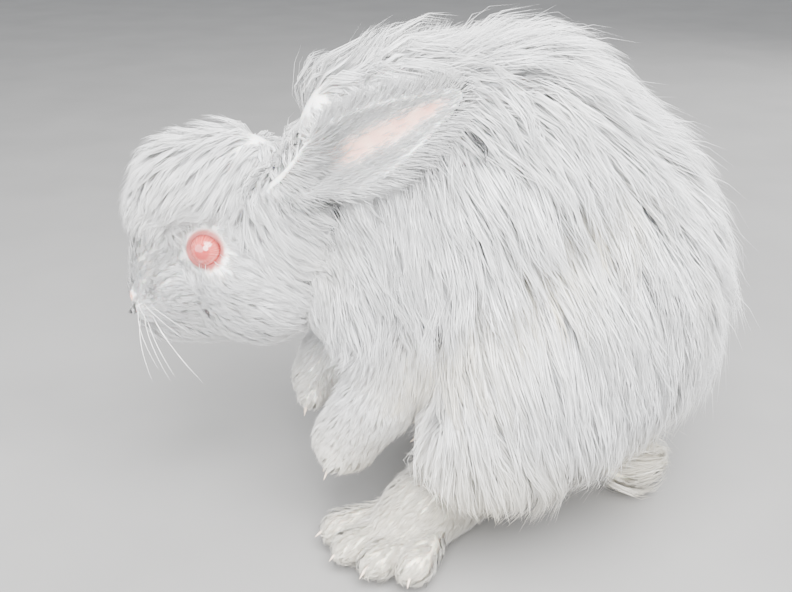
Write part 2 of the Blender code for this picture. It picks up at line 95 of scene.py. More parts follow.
COATS = {
    "trunk": Coat(56, 27, 0.8, 0.32, 0.42, 0.8, "wool"),
    "haunch": Coat(52, 25, 0.8, 0.34, 0.43, 0.8, "wool"),
    "neck": Coat(42, 20, 0.75, 0.3, 0.5, 0.8, "wool"),
    "chest": Coat(36, 17, 0.75, 0.3, 0.5, 0.8, "wool"),
    "tail": Coat(34, 14, 0.7, 0.35, 0.8, 0.3, "tail"),
    "crown": Coat(27, 11, 0.62, 0.35, 0.75, 0.8, "fringe"),
    "nape": Coat(30, 10, 0.62, 0.4, 0.74, 0.5, "cheek"),
    "brow": Coat(16, 6.2, 0.52, 0.35, 1.1, 0.7, "fringe"),
    "cheek": Coat(26, 8.5, 0.56, 0.5, 1.0, 0.5, "cheek"),
    "face": Coat(12.5, 4.8, 0.46, 0.45, 1.7, 0.6, "face"),
    "muzzle": Coat(7, 2.8, 0.4, 0.3, 2.6, 0.8, "face"),
    "leg": Coat(18, 6.5, 0.6, 0.4, 0.9, 0.8, "leg"),
    "paw": Coat(10, 4, 0.52, 0.55, 1.35, 0.6, "paw"),
    "foot": Coat(11, 4, 0.55, 0.55, 1.15, 0.6, "foot"),
}
LENGTH, DEPTH, WIDTH, GATHER, DENSITY, CLING = range(6)
# Over how many millimetres neighbouring coats blend, and from what length hair counts as long.
BLEND = 7.0
LONG_HAIR = 20.0
# How far from its middle an eye turns hair aside, and how strongly.
EYE_PARTING = 26
EYE_PUSH = 2.2
# The share of loose strands.
LOOSE_SHARE = 0.11
# The spacing of wide locks for each millimetre of hair, and the least.
WIDE_LOCK, LEAST_LOCK = 0.3, 4.0
# The hair of the ears: the width of a strand and strands for each square millimetre.
EAR_HAIR_WIDTH = 0.45
EAR_HAIR_DENSITY = 1.3
# How deep in the skin strands start.
ROOT_DEPTH = 0.6
EAR_ROOT_DEPTH = 0.4
# The share of the hair that is missing where skin is bare.
BARE_THINNING = 0.97
# How many places are worked on at a time.
BATCH = 20000


def at(x, y, z):
    """A place given in millimetres."""
    return Vector((x, y, z)) * MM


# A rounded mass of the body, in millimetres: its middle, how far the tips of its coat reach, the name of its
# coat, and the piece that its coat belongs to.
Mass = namedtuple("Mass", "middle tips coat piece")
LEAST_RADIUS = 1.5


def skin_radii(mass):
    """How far the skin of a mass reaches, without its coat."""
    return [max(LEAST_RADIUS, tip - COATS[mass.coat].depth) for tip in mass.tips]


def chain(places, radii, coat, piece):
    """Round masses along a line of places, each blended in size to the next."""
    masses = []
    for (start, end), (first, last) in zip(zip(places, places[1:]), zip(radii, radii[1:])):
        for step in range(CHAIN_STEPS + 1):
            share = step / CHAIN_STEPS
            size = first + (last - first) * share
            middle = tuple(a + (b - a) * share for a, b in zip(start, end))
            masses.append(Mass(middle, (size, size, size), coat, piece))
    return masses


HEEL = {LEFT: (22, 32), RIGHT: (80, 36)}
TOE_MIDDLE = {LEFT: (-43, 91), RIGHT: (0, 68)}
# Each hind toe's offset outwards across the foot and forwards along it.
TOES = [(-27, -6), (-9, 1), (9.5, -1), (26, -12)]
FINGERS = [-11.5, -4, 4, 11.5]
# The shoulder, elbow, wrist and palm of each foreleg, and how thick it is there.
FORELEGS = {
    LEFT: ([(-6, -44, 112), (-26, -44, 84), (-40, -40, 64), (-46, -38, 53)], [25, 21, 20, 19.5]),
    RIGHT: ([(-18, 44, 112), (-46, 38, 88), (-60, 32, 70), (-64, 29, 58)], [24, 19, 18, 18]),
}


def foot_axes(side):
    """The hind foot's heel, and its directions forwards and outwards along the floor."""
    heel = Vector((HEEL[side][0], side * HEEL[side][1], 0))
    forward = (Vector((TOE_MIDDLE[side][0], side * TOE_MIDDLE[side][1], 0)) - heel).normalized()
    outward = Vector((-forward.y, forward.x, 0)) * -side
    return heel, forward, outward


def body_masses():
    """The trunk, haunches and tail."""
    masses = [
        Mass((76, 0, 132), (88, 98, 108), "trunk", "rump"),
        Mass((38, 0, 160), (94, 94, 116), "trunk", "torso"),
        Mass((-12, 0, 177), (68, 68, 100), "trunk", "shoulders"),
        Mass((-40, 0, 132), (44, 52, 46), "chest", "neck"),
        Mass((-26, -38, 122), (35, 26, 40), "chest", "neck"),
        Mass((-26, 38, 122), (35, 26, 40), "chest", "neck"),
        Mass((-48, 0, 193), (45, 47, 70), "neck", "neck"),
        Mass((112, 0, 17), (28, 29, 27), "tail", "tail"),
    ]
    masses += chain([(90, 0, 90), (108, 0, 40)], [42, 28], "trunk", "rump")
    for name, side in SIDES.items():
        heel, forward, _ = foot_axes(side)
        ankle = heel + forward * 14 + Vector((0, 0, 30))
        thigh, shin = f"haunch_{name}", f"hindfoot_{name}"
        masses.append(Mass((50, side * 66, 109), (66, 46, 71), "haunch", thigh))
        masses += chain([(28, side * 64, 84), (28, side * 62, 72)], [39, 34], "haunch", thigh)
        masses += chain([(28, side * 62, 62), ankle], [29, 20], "leg", shin)
    return masses


def head_masses():
    """Skull, brow, bridge, cheeks, jaw, whisker pads, chin and nose."""
    masses = chain([(-100, 0, 187), (-130, 0, 184)], [36, 32], "crown", "crown")
    masses.append(Mass((-139, 0, 168), (25, 19, 26), "brow", "face"))
    masses += chain([(-138, 0, 158), (-147, 0, 142), (-155, 0, 126)], [23, 18, 12.5], "face", "face")
    masses += chain([(-94, 0, 134), (-122, 0, 116), (-147, 0, 107)], [32, 22, 13], "face", "face")
    masses.append(Mass((-74, 0, 166), (40, 42, 46), "nape", "crown"))
    masses.append(Mass((-161.5, 0, 122), (7, 9, 8), "muzzle", "face"))
    for side in SIDES.values():
        masses += [
            Mass((-94, side * 17, 135), (38, 27, 38), "cheek", "crown"),
            Mass((-106, side * 13, 171), (26, 15, 14), "brow", "face"),
            Mass((-64, side * 28, 184), (22, 19, 21), "nape", "crown"),
            Mass((-84, side * 25, 185), (19, 17, 17), "nape", "crown"),
            Mass((-119, side * 11, 154), (21, 17, 18), "face", "face"),
            Mass((-126, side * 11, 132), (28, 16, 24), "face", "face"),
            Mass((-151, side * 7.5, 117), (13, 11, 11.5), "muzzle", "face"),
            Mass((-138, side * 9, 122), (17, 12, 14), "muzzle", "face"),
        ]
    return masses


def finger_tip(side, across):
    """Where a finger of a forefoot starts and ends."""
    wrist, palm = (Vector(place) for place in FORELEGS[side][0][2:])
    down = (palm - wrist).normalized()
    root = palm + Vector((0, across * 0.7, 0))
    return root, root + down * (9 - 0.25 * abs(across)) + Vector((-2, across * 0.4, 0))


def foreleg_masses(name, side):
    """A lifted foreleg, bent at the wrist. The right one reaches further forward."""
    piece = f"foreleg_{name}"
    places, radii = FORELEGS[side]
    masses = chain(places[:2], radii[:2], "leg", piece) + chain(places[1:], radii[1:], "paw", piece)
    for across in FINGERS:
        root, tip = finger_tip(side, across)
        masses += chain([root, tip], [11, 10], "paw", piece)
    return masses


def toe_line(side, across, along):
    """Where a hind toe starts and ends."""
    heel, forward, outward = foot_axes(side)
    up = Vector((0, 0, 1))
    root = heel + forward * FOOT_LENGTH * 0.56 + outward * across * 0.62 + up * 12
    return root, heel + forward * (FOOT_LENGTH - 10 + along) + outward * across + up * 11.2


def hindfoot_masses(name, side):
    """A long hind foot, flat on the floor and turned out, with four spread toes."""
    piece = f"hindfoot_{name}"
    heel, forward, _ = foot_axes(side)
    up = Vector((0, 0, 1))
    ankle = heel + forward * 14 + up * 30
    instep = heel + forward * FOOT_LENGTH * 0.42 + up * 20
    ball_of_foot = heel + forward * FOOT_LENGTH * 0.6 + up * 15
    masses = chain([heel + up * 15, instep, ball_of_foot], [17, 23, 18], "foot", piece)
    masses += chain([ankle, instep], [22, 21], "foot", piece)
    for across, along in TOES:
        root, tip = toe_line(side, across, along)
        masses += chain([root, tip], [12, 11.5], "foot", piece)
    return masses


def all_masses():
    masses = body_masses() + head_masses()
    for name, side in SIDES.items():
        masses += hindfoot_masses(name, side) + foreleg_masses(name, side)
    return masses


def to_scene(obj):
    bpy.context.scene.collection.objects.link(obj)
    return obj


def new_object(name, bm):
    mesh = bpy.data.meshes.new(name)
    bm.to_mesh(mesh)
    bm.free()
    return to_scene(bpy.data.objects.new(name, mesh))


def ball(name, place):
    """A ball of radius 1 moved to its place by a matrix."""
    bm = bmesh.new()
    bmesh.ops.create_uvsphere(bm, u_segments=24, v_segments=16, radius=1, matrix=place)
    return new_object(name, bm)


def placed(middle, radii, turn=Matrix.Identity(4)):
    return Matrix.Translation(middle) @ turn @ Matrix.Diagonal((*radii, 1))


def settle(obj):
    """Applies every modifier of an object."""
    graph = bpy.context.evaluated_depsgraph_get()
    mesh = bpy.data.meshes.new_from_object(obj.evaluated_get(graph))
    obj.modifiers.clear()
    obj.data = mesh
    return obj


def shade_smooth(obj):
    for polygon in obj.data.polygons:
        polygon.use_smooth = True


def keep_values(mesh, name, values):
    """Keeps one number on each corner of a mesh, for its material."""
    mesh.attributes.new(name, "FLOAT", "POINT").data.foreach_set("value", values)


def merged(name, parts, voxel, smoothing, triangles=0):
    """Melts several closed objects into one smooth form. The parts are used up."""
    bm = bmesh.new()
    for part in parts:
        bm.from_mesh(part.data)
        bpy.data.objects.remove(part)
    form = new_object(name, bm)
    remesh = form.modifiers.new("merge", "REMESH")
    remesh.mode = "VOXEL"
    remesh.voxel_size = voxel * MM
    blend = form.modifiers.new("blend", "SMOOTH")
    blend.factor = 0.5
    blend.iterations = smoothing
    settle(form)
    if triangles:
        thin = form.modifiers.new("thin", "DECIMATE")
        thin.ratio = triangles / (len(form.data.polygons) * 2)
        settle(form)
    return form


def soft_form(name, masses, voxel, smoothing):
    """One smooth form over rounded masses, each drawn in by the depth of its coat."""
    spheres = []
    for part in masses:
        spheres.append(ball("sphere", placed(at(*part.middle), at(*skin_radii(part)))))
    return merged(name, spheres, voxel, smoothing)


def cut(obj, cutter):
    """Cuts an object by another, which is then removed."""
    modifier = obj.modifiers.new("cut", "BOOLEAN")
    modifier.operation = "DIFFERENCE"
    modifier.solver = "MANIFOLD"
    modifier.object = cutter
    settle(obj)
    bpy.data.objects.remove(cutter)


def eye_middle(side):
    return Vector((-117, side * 21, 156))


def eye_gaze(side):
    return Vector((-0.2, side, 0.12)).normalized()


def round_eye(places, side):
    """How far places lie from the line that an eye looks along, and how far in front of its middle."""
    offset = places - np.array(eye_middle(side))
    gaze = np.array(eye_gaze(side))
    height = offset @ gaze
    return np.linalg.norm(offset - height[..., None] * gaze, axis=-1), height


def eye_turn(side):
    """Turns +Z to where the eye looks."""
    return eye_gaze(side).to_track_quat("Z", "Y").to_matrix().to_4x4()


def ring(major, minor, place):
    """A ring round Z, moved to its place by a matrix."""
    bpy.ops.mesh.primitive_torus_add(
        major_segments=48, minor_segments=16, major_radius=major * MM, minor_radius=minor * MM
    )
    obj = bpy.context.object
    obj.data.transform(place)
    return obj


def tree_of(obj):
    """The surface of an object, for rays and nearest places."""
    bm = bmesh.new()
    bm.from_mesh(obj.data)
    tree = BVHTree.FromBMesh(bm)
    bm.free()
    return tree


def loft(name, tubes):
    """Closed forms in one mesh, each through its own rings of corners."""
    bm = bmesh.new()
    for rings in tubes:
        rows = [[bm.verts.new(corner) for corner in corners] for corners in rings]
        count = len(rows[0])
        for low, high in zip(rows, rows[1:]):
            for i in range(count):
                j = (i + 1) % count
                bm.faces.new((low[i], low[j], high[j], high[i]))
        bm.faces.new(rows[0][::-1])
        bm.faces.new(rows[-1])
    bmesh.ops.recalc_face_normals(bm, faces=bm.faces)
    return new_object(name, bm)


def groove(places, half_width):
    """A thin cutter with four sides along a line of places."""
    rings = []
    for index, place in enumerate(places):
        run = (places[min(index + 1, len(places) - 1)] - places[max(0, index - 1)]).normalized()
        across = run.cross(Vector((0.3, 0, 1))).normalized() if abs(run.z) < 0.8 else Vector((0, 1, 0))
        corners = [across, across.cross(run), -across, run.cross(across)]
        rings.append([place + corner * half_width * MM for corner in corners])
    return loft("groove", [rings])


def head_form():
    """The head with its nostrils, the cleft of the lip and the line of the mouth."""
    head = soft_form("head_form", head_masses(), HEAD_VOXEL, BODY_SMOOTHING)
    surface = tree_of(head)
    for side in SIDES.values():
        turn = Matrix.Rotation(math.radians(side * 40), 4, "X") @ Matrix.Rotation(math.radians(20), 4, "Y")
        place = placed(at(-165, side * 3.6, 121.5), at(3.4, 1.3, 2.8), turn)
        cut(head, ball("nostril", place))
    cleft, mouth = [], []
    for step in range(6):
        cleft.append(surface.ray_cast(at(-200, 0, 118 - 2.2 * step), Vector((1, 0, 0)))[0])
    for step in range(-6, 7):
        turn = math.radians(11 * step)
        outward = Vector((-math.cos(turn), math.sin(turn), 0))
        middle = at(-142, 0, 107.5 - 0.45 * abs(step))
        mouth.append(surface.ray_cast(middle + outward * 60 * MM, -outward)[0])
    cut(head, groove(cleft, CLEFT_HALF_WIDTH))
    cut(head, groove(mouth, MOUTH_HALF_WIDTH))
    return head


def lids():
    """Rings round each eye: the lid's edge on the eyeball, and the rolls that carry it to the face."""
    parts = []
    for side in SIDES.values():
        for major, minor, height in LID_RINGS:
            rim = (eye_middle(side) + eye_gaze(side) * height) * MM
            parts.append(ring(major, minor, placed(rim, (1.05, 0.95, 1), eye_turn(side))))
    return parts


# Where an ear starts and ends, and which way its hollow faces, in millimetres.
Ear = namedtuple("Ear", "root tip faces")

EARS = {
    side: Ear(
        root=Vector((-77, side * 27, 190)),
        tip=Vector((14, side * 81, 252)),
        faces=Vector((-0.15, side, 0.1)).normalized(),
    )
    for side in SIDES.values()
}


def ear_axes(side):
    """An ear's directions: along it, across it, and out of its hollow."""
    ear = EARS[side]
    along = (ear.tip - ear.root).normalized()
    across = along.cross(ear.faces).normalized()
    return np.array(along), np.array(across), np.array(across.cross(along).normalized())


def ear_size(share):
    """How far the ear's leaf rolls to each side, in radians, and the radius of that roll."""
    width = EAR_HALF_WIDTH * (0.62 + 0.75 * np.sin(np.pi * (share * 0.8 + 0.12)) ** 2)
    width = width * np.sqrt(np.maximum(0.02, 1 - share**6))
    roll = np.radians(155 - 90 * np.minimum(1, share * 2.6))
    return roll, width / roll * 1.2


def ear_leaf(side):
    """A long leaf-shaped ear, rolled nearly shut at its root and open like a cup along its length."""
    rows, columns = 40, 17
    along, across, out = ear_axes(side)
    bm = bmesh.new()
    grid = []
    for row in range(rows):
        share = row / (rows - 1)
        roll, radius = ear_size(share)
        bow = out * EAR_BOW * math.sin(math.pi * share)
        middle = EARS[side].root + Vector(along * EAR_LENGTH * share - bow)
        line = []
        for column in range(columns):
            angle = (column / (columns - 1) * 2 - 1) * roll
            place = middle + Vector(across * radius * math.sin(angle) + out * radius * (1 - math.cos(angle)))
            line.append(bm.verts.new(place * MM))
        grid.append(line)
    for low, high in zip(grid, grid[1:]):
        for column in range(columns - 1):
            bm.faces.new((low[column], low[column + 1], high[column + 1], high[column]))
    leaf = new_object("ear_leaf", bm)
    shell = leaf.modifiers.new("shell", "SOLIDIFY")
    shell.thickness = EAR_THICKNESS * MM
    shell.offset = 0
    return settle(leaf)


# Where places lie on an ear: the share of its length, the turn across it from -1 to 1, the way the leaf runs
# across there, the way to the middle of its hollow, and whether they're on the leaf at all.
OnEar = namedtuple("OnEar", "share turn tangent hollow found")


def on_ear(places, side):
    along, across, out = ear_axes(side)
    offset = places - np.array(EARS[side].root)
    reach = offset @ along / EAR_LENGTH
    share = np.clip(reach, 0, 1)
    roll, radius = ear_size(share)
    middle = np.outer(share * EAR_LENGTH, along) - np.outer(EAR_BOW * np.sin(np.pi * share), out)
    from_middle = offset - middle
    sideways, outwards = from_middle @ across, radius - from_middle @ out
    angle = np.arctan2(sideways, outwards)
    away = np.abs(np.hypot(sideways, outwards) - radius)
    tangent = np.outer(np.cos(angle), across) + np.outer(np.sin(angle), out)
    hollow = np.outer(np.cos(angle), out) - np.outer(np.sin(angle), across)
    found = (away < EAR_THICKNESS / 2 + 1.4) & (np.abs(angle) < roll * 1.12 + 0.05)
    found &= (reach > 0.04) & (reach < 1.04)
    return OnEar(share, angle / roll, tangent, hollow, found)


def skin_form():
    """The whole skin: body, head, lids, legs, feet and ears as one surface."""
    parts = [soft_form("body_form", body_masses(), BODY_VOXEL, BODY_SMOOTHING), head_form()]
    for name, side in SIDES.items():
        for masses in (hindfoot_masses(name, side), foreleg_masses(name, side)):
            parts.append(soft_form("limb_form", masses, HEAD_VOXEL, LIMB_SMOOTHING))
        parts.append(ear_leaf(side))
    skin = merged("skin", parts + lids(), SKIN_VOXEL, SKIN_SMOOTHING, SKIN_TRIANGLES)
    for vertex in skin.data.vertices:
        vertex.co.z = max(vertex.co.z, SKIN_FLOOR * MM)
    shade_smooth(skin)
    return skin


def vectors_of(collection, field, size=3):
    values = np.empty(len(collection) * size)
    collection.foreach_get(field, values)
    return values.reshape(-1, size)


# The triangles of a mesh: corners and corner normals, each (count, 3, 3), and areas.
Surface = namedtuple("Surface", "corners normals areas")


def surface_of(obj):
    mesh = obj.data
    mesh.calc_loop_triangles()
    places = vectors_of(mesh.vertices, "co") / MM
    normals = vectors_of(mesh.vertices, "normal")
    index = vectors_of(mesh.loop_triangles, "vertices").astype(int)
    corners = places[index]
    cross = np.cross(corners[:, 1] - corners[:, 0], corners[:, 2] - corners[:, 0])
    return Surface(corners, normals[index], np.linalg.norm(cross, axis=1) / 2)


def unit(vectors):
    return vectors / np.maximum(np.linalg.norm(vectors, axis=-1, keepdims=True), 1e-9)


def smooth_step(values, low, high):
    share = np.clip((values - low) / (high - low), 0, 1)
    return share * share * (3 - 2 * share)


# The place before the nose that the hair of the face runs away from.
NOSE = np.array([-176.0, 0, 112])


def wool_flow(p):
    """Back from the neck, down the flanks and straight down behind."""
    rear = np.clip((p[:, 0] - 20) / 110, 0, 1)
    front = np.clip((-30 - p[:, 0]) / 50, 0, 1)
    side = np.clip(np.abs(p[:, 1]) / 80, 0, 1)
    back = 0.65 - 0.35 * rear - 0.3 * front * side - 0.2 * side
    down = 0.2 + 0.9 * side + 0.5 * rear + 0.5 * front * side
    return np.stack([back, 0.45 * side * side * np.sign(p[:, 1]), -down], axis=1)


def cheek_flow(p):
    return np.stack([np.full(len(p), 0.8), 0.2 * np.sign(p[:, 1]), np.full(len(p), -0.5)], axis=1)


def face_flow(p):
    """Away from the nose."""
    return unit(p - NOSE) + np.array([0.3, 0, 0])


def fringe_flow(p):
    """Forwards and down over the brow."""
    return np.stack([np.full(len(p), -0.75), p[:, 1] / 40, np.full(len(p), -0.75)], axis=1)


def foot_flow(p):
    """Along each hind foot towards its toes."""
    ahead = {side: np.array(foot_axes(side)[1]) for side in SIDES.values()}
    return np.where(p[:, 1:2] < 0, ahead[LEFT], ahead[RIGHT]) + np.array([0, 0, -0.25])


def steady(*way):
    """A flow that runs the same way everywhere."""
    return lambda p: np.tile(way, (len(p), 1))


FLOWS = {
    "wool": wool_flow,
    "cheek": cheek_flow,
    "face": face_flow,
    "fringe": fringe_flow,
    "leg": steady(-0.15, 0, -1.0),
    "paw": steady(-0.5, 0, -0.85),
    "foot": foot_flow,
    "tail": steady(0.8, 0, 0.1),
}


# The coat at many places: its numbers and the share of each flow, blended from the nearest masses, and the
# names of its pieces.
Growth = namedtuple("Growth", "numbers flows pieces")


# The pieces of the coat that are split at the midline.
MIDLINE_PIECES = {"rump", "torso", "shoulders", "neck", "crown"}


def coat_at(places, masses):
    numbers = np.array([COATS[part.coat][:6] for part in masses])
    flows = np.array([[COATS[part.coat].flow == name for name in FLOWS] for part in masses], float)
    pieces = np.array([part.piece for part in masses])
    middles = np.array([part.middle for part in masses])
    radii = np.array([skin_radii(part) for part in masses])
    values, shares, names = [], [], []
    for start in range(0, len(places), BATCH):
        part = places[start : start + BATCH]
        gap = (np.linalg.norm((part[:, None] - middles) / radii, axis=2) - 1) * radii.min(axis=1)
        weight = np.exp(-np.maximum(gap - gap.min(axis=1, keepdims=True), 0) / BLEND)
        weight /= weight.sum(axis=1, keepdims=True)
        values.append(weight @ numbers)
        shares.append(weight @ flows)
        names.append(pieces[gap.argmin(axis=1)])
    names = np.concatenate(names)
    sides = np.where(places[:, 1] < 0, "_left", "_right")
    sides[~np.isin(names, list(MIDLINE_PIECES))] = ""
    return Growth(np.concatenate(values), np.concatenate(shares), np.char.add(names, sides))


def flow_at(places, shares):
    """The blended flow, turned aside round the eyes."""
    total = np.zeros_like(places)
    for index, flow in enumerate(FLOWS.values()):
        total += shares[:, index : index + 1] * unit(flow(places))
    for side in SIDES.values():
        offset = places - np.array(eye_middle(side))
        away = np.linalg.norm(offset, axis=1, keepdims=True)
        total += unit(offset) * np.clip(1 - away / EYE_PARTING, 0, 1) * EYE_PUSH
    return unit(total)


def clear_of_ears(places, margin):
    """Moves places that are in front of an ear's leaf, or in it, to behind its back."""
    places = places.copy()
    for side in SIDES.values():
        along, across, out = ear_axes(side)
        offset = places - np.array(EARS[side].root)
        share = offset @ along / EAR_LENGTH
        inner = np.clip(share, 0, 1)
        width = EAR_HALF_WIDTH * (1.0 - 0.5 * inner**3) + 3
        depth = offset @ out + EAR_BOW * np.sin(np.pi * inner)
        aside = np.abs(offset @ across)
        inside = (share > 0.3) & (share < 1.03) & (aside < width) & (depth > -margin) & (depth < 40)
        places[inside] -= np.outer(depth[inside] + margin, out)
    return places


def bareness(places, normals):
    """1 where the skin is bare and 0 under hair: bare are the lids, nostrils and hollows of the ears."""
    bare = np.zeros(len(places))
    for side in SIDES.values():
        reach, height = round_eye(places, side)
        bare = np.maximum(bare, (1 - smooth_step(reach, LID_OPENING, LID_OPENING + 1.2)) * (height > -6))
        ear = on_ear(places, side)
        inner = (ear.hollow * normals).sum(axis=1) > 0
        open_part = 1 - smooth_step(np.abs(ear.turn), 0.12, 0.5)
        open_part *= smooth_step(ear.share, 0.2, 0.4) * (1 - smooth_step(ear.share, 0.86, 0.98))
        bare = np.maximum(bare, open_part * inner * ear.found)
        slit = np.linalg.norm((places - np.array([-166, side * 3.4, 121.5])) / [5, 3.2, 3.4], axis=1)
        bare = np.maximum(bare, 1 - smooth_step(slit, 0.8, 1.3))
    return bare


def roots_on(surface, weights, count, draw):
    """Random places on a surface with their normals, denser where the weights are higher."""
    total = np.cumsum(surface.areas * weights)
    pick = np.searchsorted(total, draw.random(count) * total[-1])
    one = np.sqrt(draw.random(count))
    two = draw.random(count)
    shares = np.stack([1 - one, one * (1 - two), one * two], axis=1)[:, :, None]
    return (surface.corners[pick] * shares).sum(axis=1), unit((surface.normals[pick] * shares).sum(axis=1))


# The fold between shoulder and haunch, from the back down to the elbow, as (x, z) on each flank.
FOLD = np.array([(64, 202), (34, 173), (12, 147), (-20, 98)], float)
FOLD_WIDTH = 12


def fold_share(places):
    """1 along the fold between shoulder and haunch, falling to 0 beside it."""
    flat = places[:, [0, 2]]
    away = np.full(len(places), np.inf)
    for start, end in zip(FOLD, FOLD[1:]):
        span = end - start
        share = np.clip((flat - start) @ span / (span @ span), 0, 1)
        away = np.minimum(away, np.linalg.norm(flat - start - share[:, None] * span, axis=1))
    return np.exp(-((away / FOLD_WIDTH) ** 2)) * smooth_step(np.abs(places[:, 1]), 25, 50)


def fold_shade_at(places):
    """How strongly the cream-tinted painted shade along the fold between shoulder and haunch shows, in broken
    patches.
    """
    broken = np.sin(places[:, 0] * 0.19 + 1.7 * np.sin(places[:, 2] * 0.11)) * np.sin(places[:, 2] * 0.23)
    return fold_share(places + np.array([-6.0, 0, 0])) * (0.75 + 0.35 * broken)


# The shares of a guide's length at its steps.
STEPS = np.array([0.0, 0.18, 0.4, 0.7, 1.0])

# The middle lines of locks, with the way up from the skin at each step.
Guides = namedtuple("Guides", "lines ups")


def nearest_skin(places, tree):
    found = [tree.find_nearest(place)[:2] for place in (places * MM).tolist()]
    return np.array([place for place, _ in found]) / MM, np.array([normal for _, normal in found])


def guides_from(roots, normals, growth, tree, draw):
    """Runs guides along the flow, rising from the skin to their coat's depth. Where the body falls away under
    them they hang over its edge."""
    count = len(roots)
    numbers = growth.numbers
    length = numbers[:, LENGTH] * draw.uniform(0.85, 1.12, count)
    rise = numbers[:, DEPTH] * draw.uniform(0.8, 1.1, count) * (1 - 0.7 * fold_share(roots))
    stray = draw.normal(0, 0.11, (count, 3)) * (1.8 - numbers[:, CLING])[:, None]
    lines = [roots]
    ups = [normals]
    here, up = roots.copy(), normals.copy()
    for before, share in zip(STEPS, STEPS[1:]):
        direction = flow_at(here, growth.flows) + stray + draw.normal(0, 0.06, (count, 3))
        direction -= up * (direction * up).sum(axis=1, keepdims=True)
        reach = length * (share - before)
        here = here + unit(direction) * reach[:, None]
        near, normal = nearest_skin(here, tree)
        outwards = here - near
        height = (outwards * normal).sum(axis=1)
        away = unit(normal + unit(outwards) * (height > 1)[:, None] * 0.8)
        high = np.where(height > 0, np.linalg.norm(outwards, axis=1), height)
        wanted = rise * (1 - (1 - share) ** 1.7)
        give = np.where(high > wanted, numbers[:, CLING], 1)
        move = np.clip((wanted - high) * give, -0.55 * reach, 0.9 * reach)
        here = clear_of_ears(here + away * move[:, None], 3.0)
        here[:, 2] = np.maximum(here[:, 2], GUIDE_FLOOR + 4 * (1 - share))
        up = away
        lines.append(here)
        ups.append(away)
    return Guides(np.stack(lines, axis=1), np.stack(ups, axis=1))


def drawn_together(guides, growth, draw):
    """Draws the guides of long wool towards wider locks, so that small locks lie in larger ones."""
    roots = guides.lines[:, 0]
    spacing = np.maximum(growth.numbers[:, LENGTH] * WIDE_LOCK, LEAST_LOCK)
    chosen = spread_out(roots, spacing)
    lead = chosen[nearest_of(roots, roots[chosen])]
    pull = np.clip((growth.numbers[:, LENGTH] - 16) / 30, 0, 1) * draw.uniform(0.3, 0.6, len(roots))
    lines = guides.lines.copy()
    for index, share in enumerate(STEPS):
        lines[:, index] += (guides.lines[lead, index] - lines[:, index]) * (pull * share**1.2)[:, None]
    return Guides(lines, guides.ups)


def along_line(lines, share):
    """Places at a share of each line's length, past its end too."""
    index = np.clip(np.searchsorted(STEPS, share, side="right") - 1, 0, len(STEPS) - 2)
    rows = np.arange(len(lines))
    part = ((share - STEPS[index]) / (STEPS[index + 1] - STEPS[index]))[:, None]
    return lines[rows, index] * (1 - part) + lines[rows, index + 1] * part


# Strands of one kind: places along each, the way up there, widths, roots' spots on the unwrap, and a random
# shade.
Strands = namedtuple("Strands", "places ups widths spots tints")


def only(rows, keep):
    """The kept rows of every field of a record."""
    return type(rows)(*(values[keep] for values in rows))


def strands_from(roots, normals, numbers, guide, guides, shares, draw):
    """Strands that follow their guides, drawn together towards their tips, with a few loose ones."""
    count = len(roots)
    lines, ups = guides.lines[guide], guides.ups[guide]
    offset = roots - lines[:, 0]
    loose = draw.random(count) < LOOSE_SHARE
    reach = draw.uniform(0.7, 1.08, count)
    lift = draw.normal(0, 0.06, count) + loose * draw.uniform(-0.1, 0.3, count)
    wave = unit(draw.normal(0, 1, (count, 3))) * (numbers[:, LENGTH] * np.where(loose, 0.07, 0.03))[:, None]
    gather = np.clip(numbers[:, GATHER] * draw.uniform(0.6, 1.3, count), 0, 0.95) * np.where(loose, 0.4, 1)
    places, upward = [], []
    for share in shares:
        up = unit(along_line(ups, np.minimum(reach * share, 1)))
        place = along_line(lines, reach * share) + offset * (1 - gather * share**0.8)[:, None]
        place += up * (lift * numbers[:, DEPTH] * share)[:, None] + wave * math.sin(math.pi * share * 1.3)
        places.append(place)
        upward.append(up)
    places[0] = roots - normals * ROOT_DEPTH
    places = np.stack(places, axis=1)
    cleared = clear_of_ears(places.reshape(-1, 3), 1.5).reshape(places.shape)
    widths = numbers[:, WIDTH] * draw.uniform(0.7, 1.25, count) * np.where(loose, 0.55, 1)
    keep = (np.linalg.norm(cleared - places, axis=2).max(axis=1) < 9) & clear_of_eyes(cleared)
    return cleared, np.stack(upward, axis=1), widths, keep


def clear_of_eyes(places):
    """True for strands that don't pass in front of an eye."""
    clear = np.ones(len(places), bool)
    for side in SIDES.values():
        reach, height = round_eye(places[:, 1:], side)
        clear &= ~((reach < LID_OPENING - 0.6) & (height > 0)).any(axis=1)
    return clear


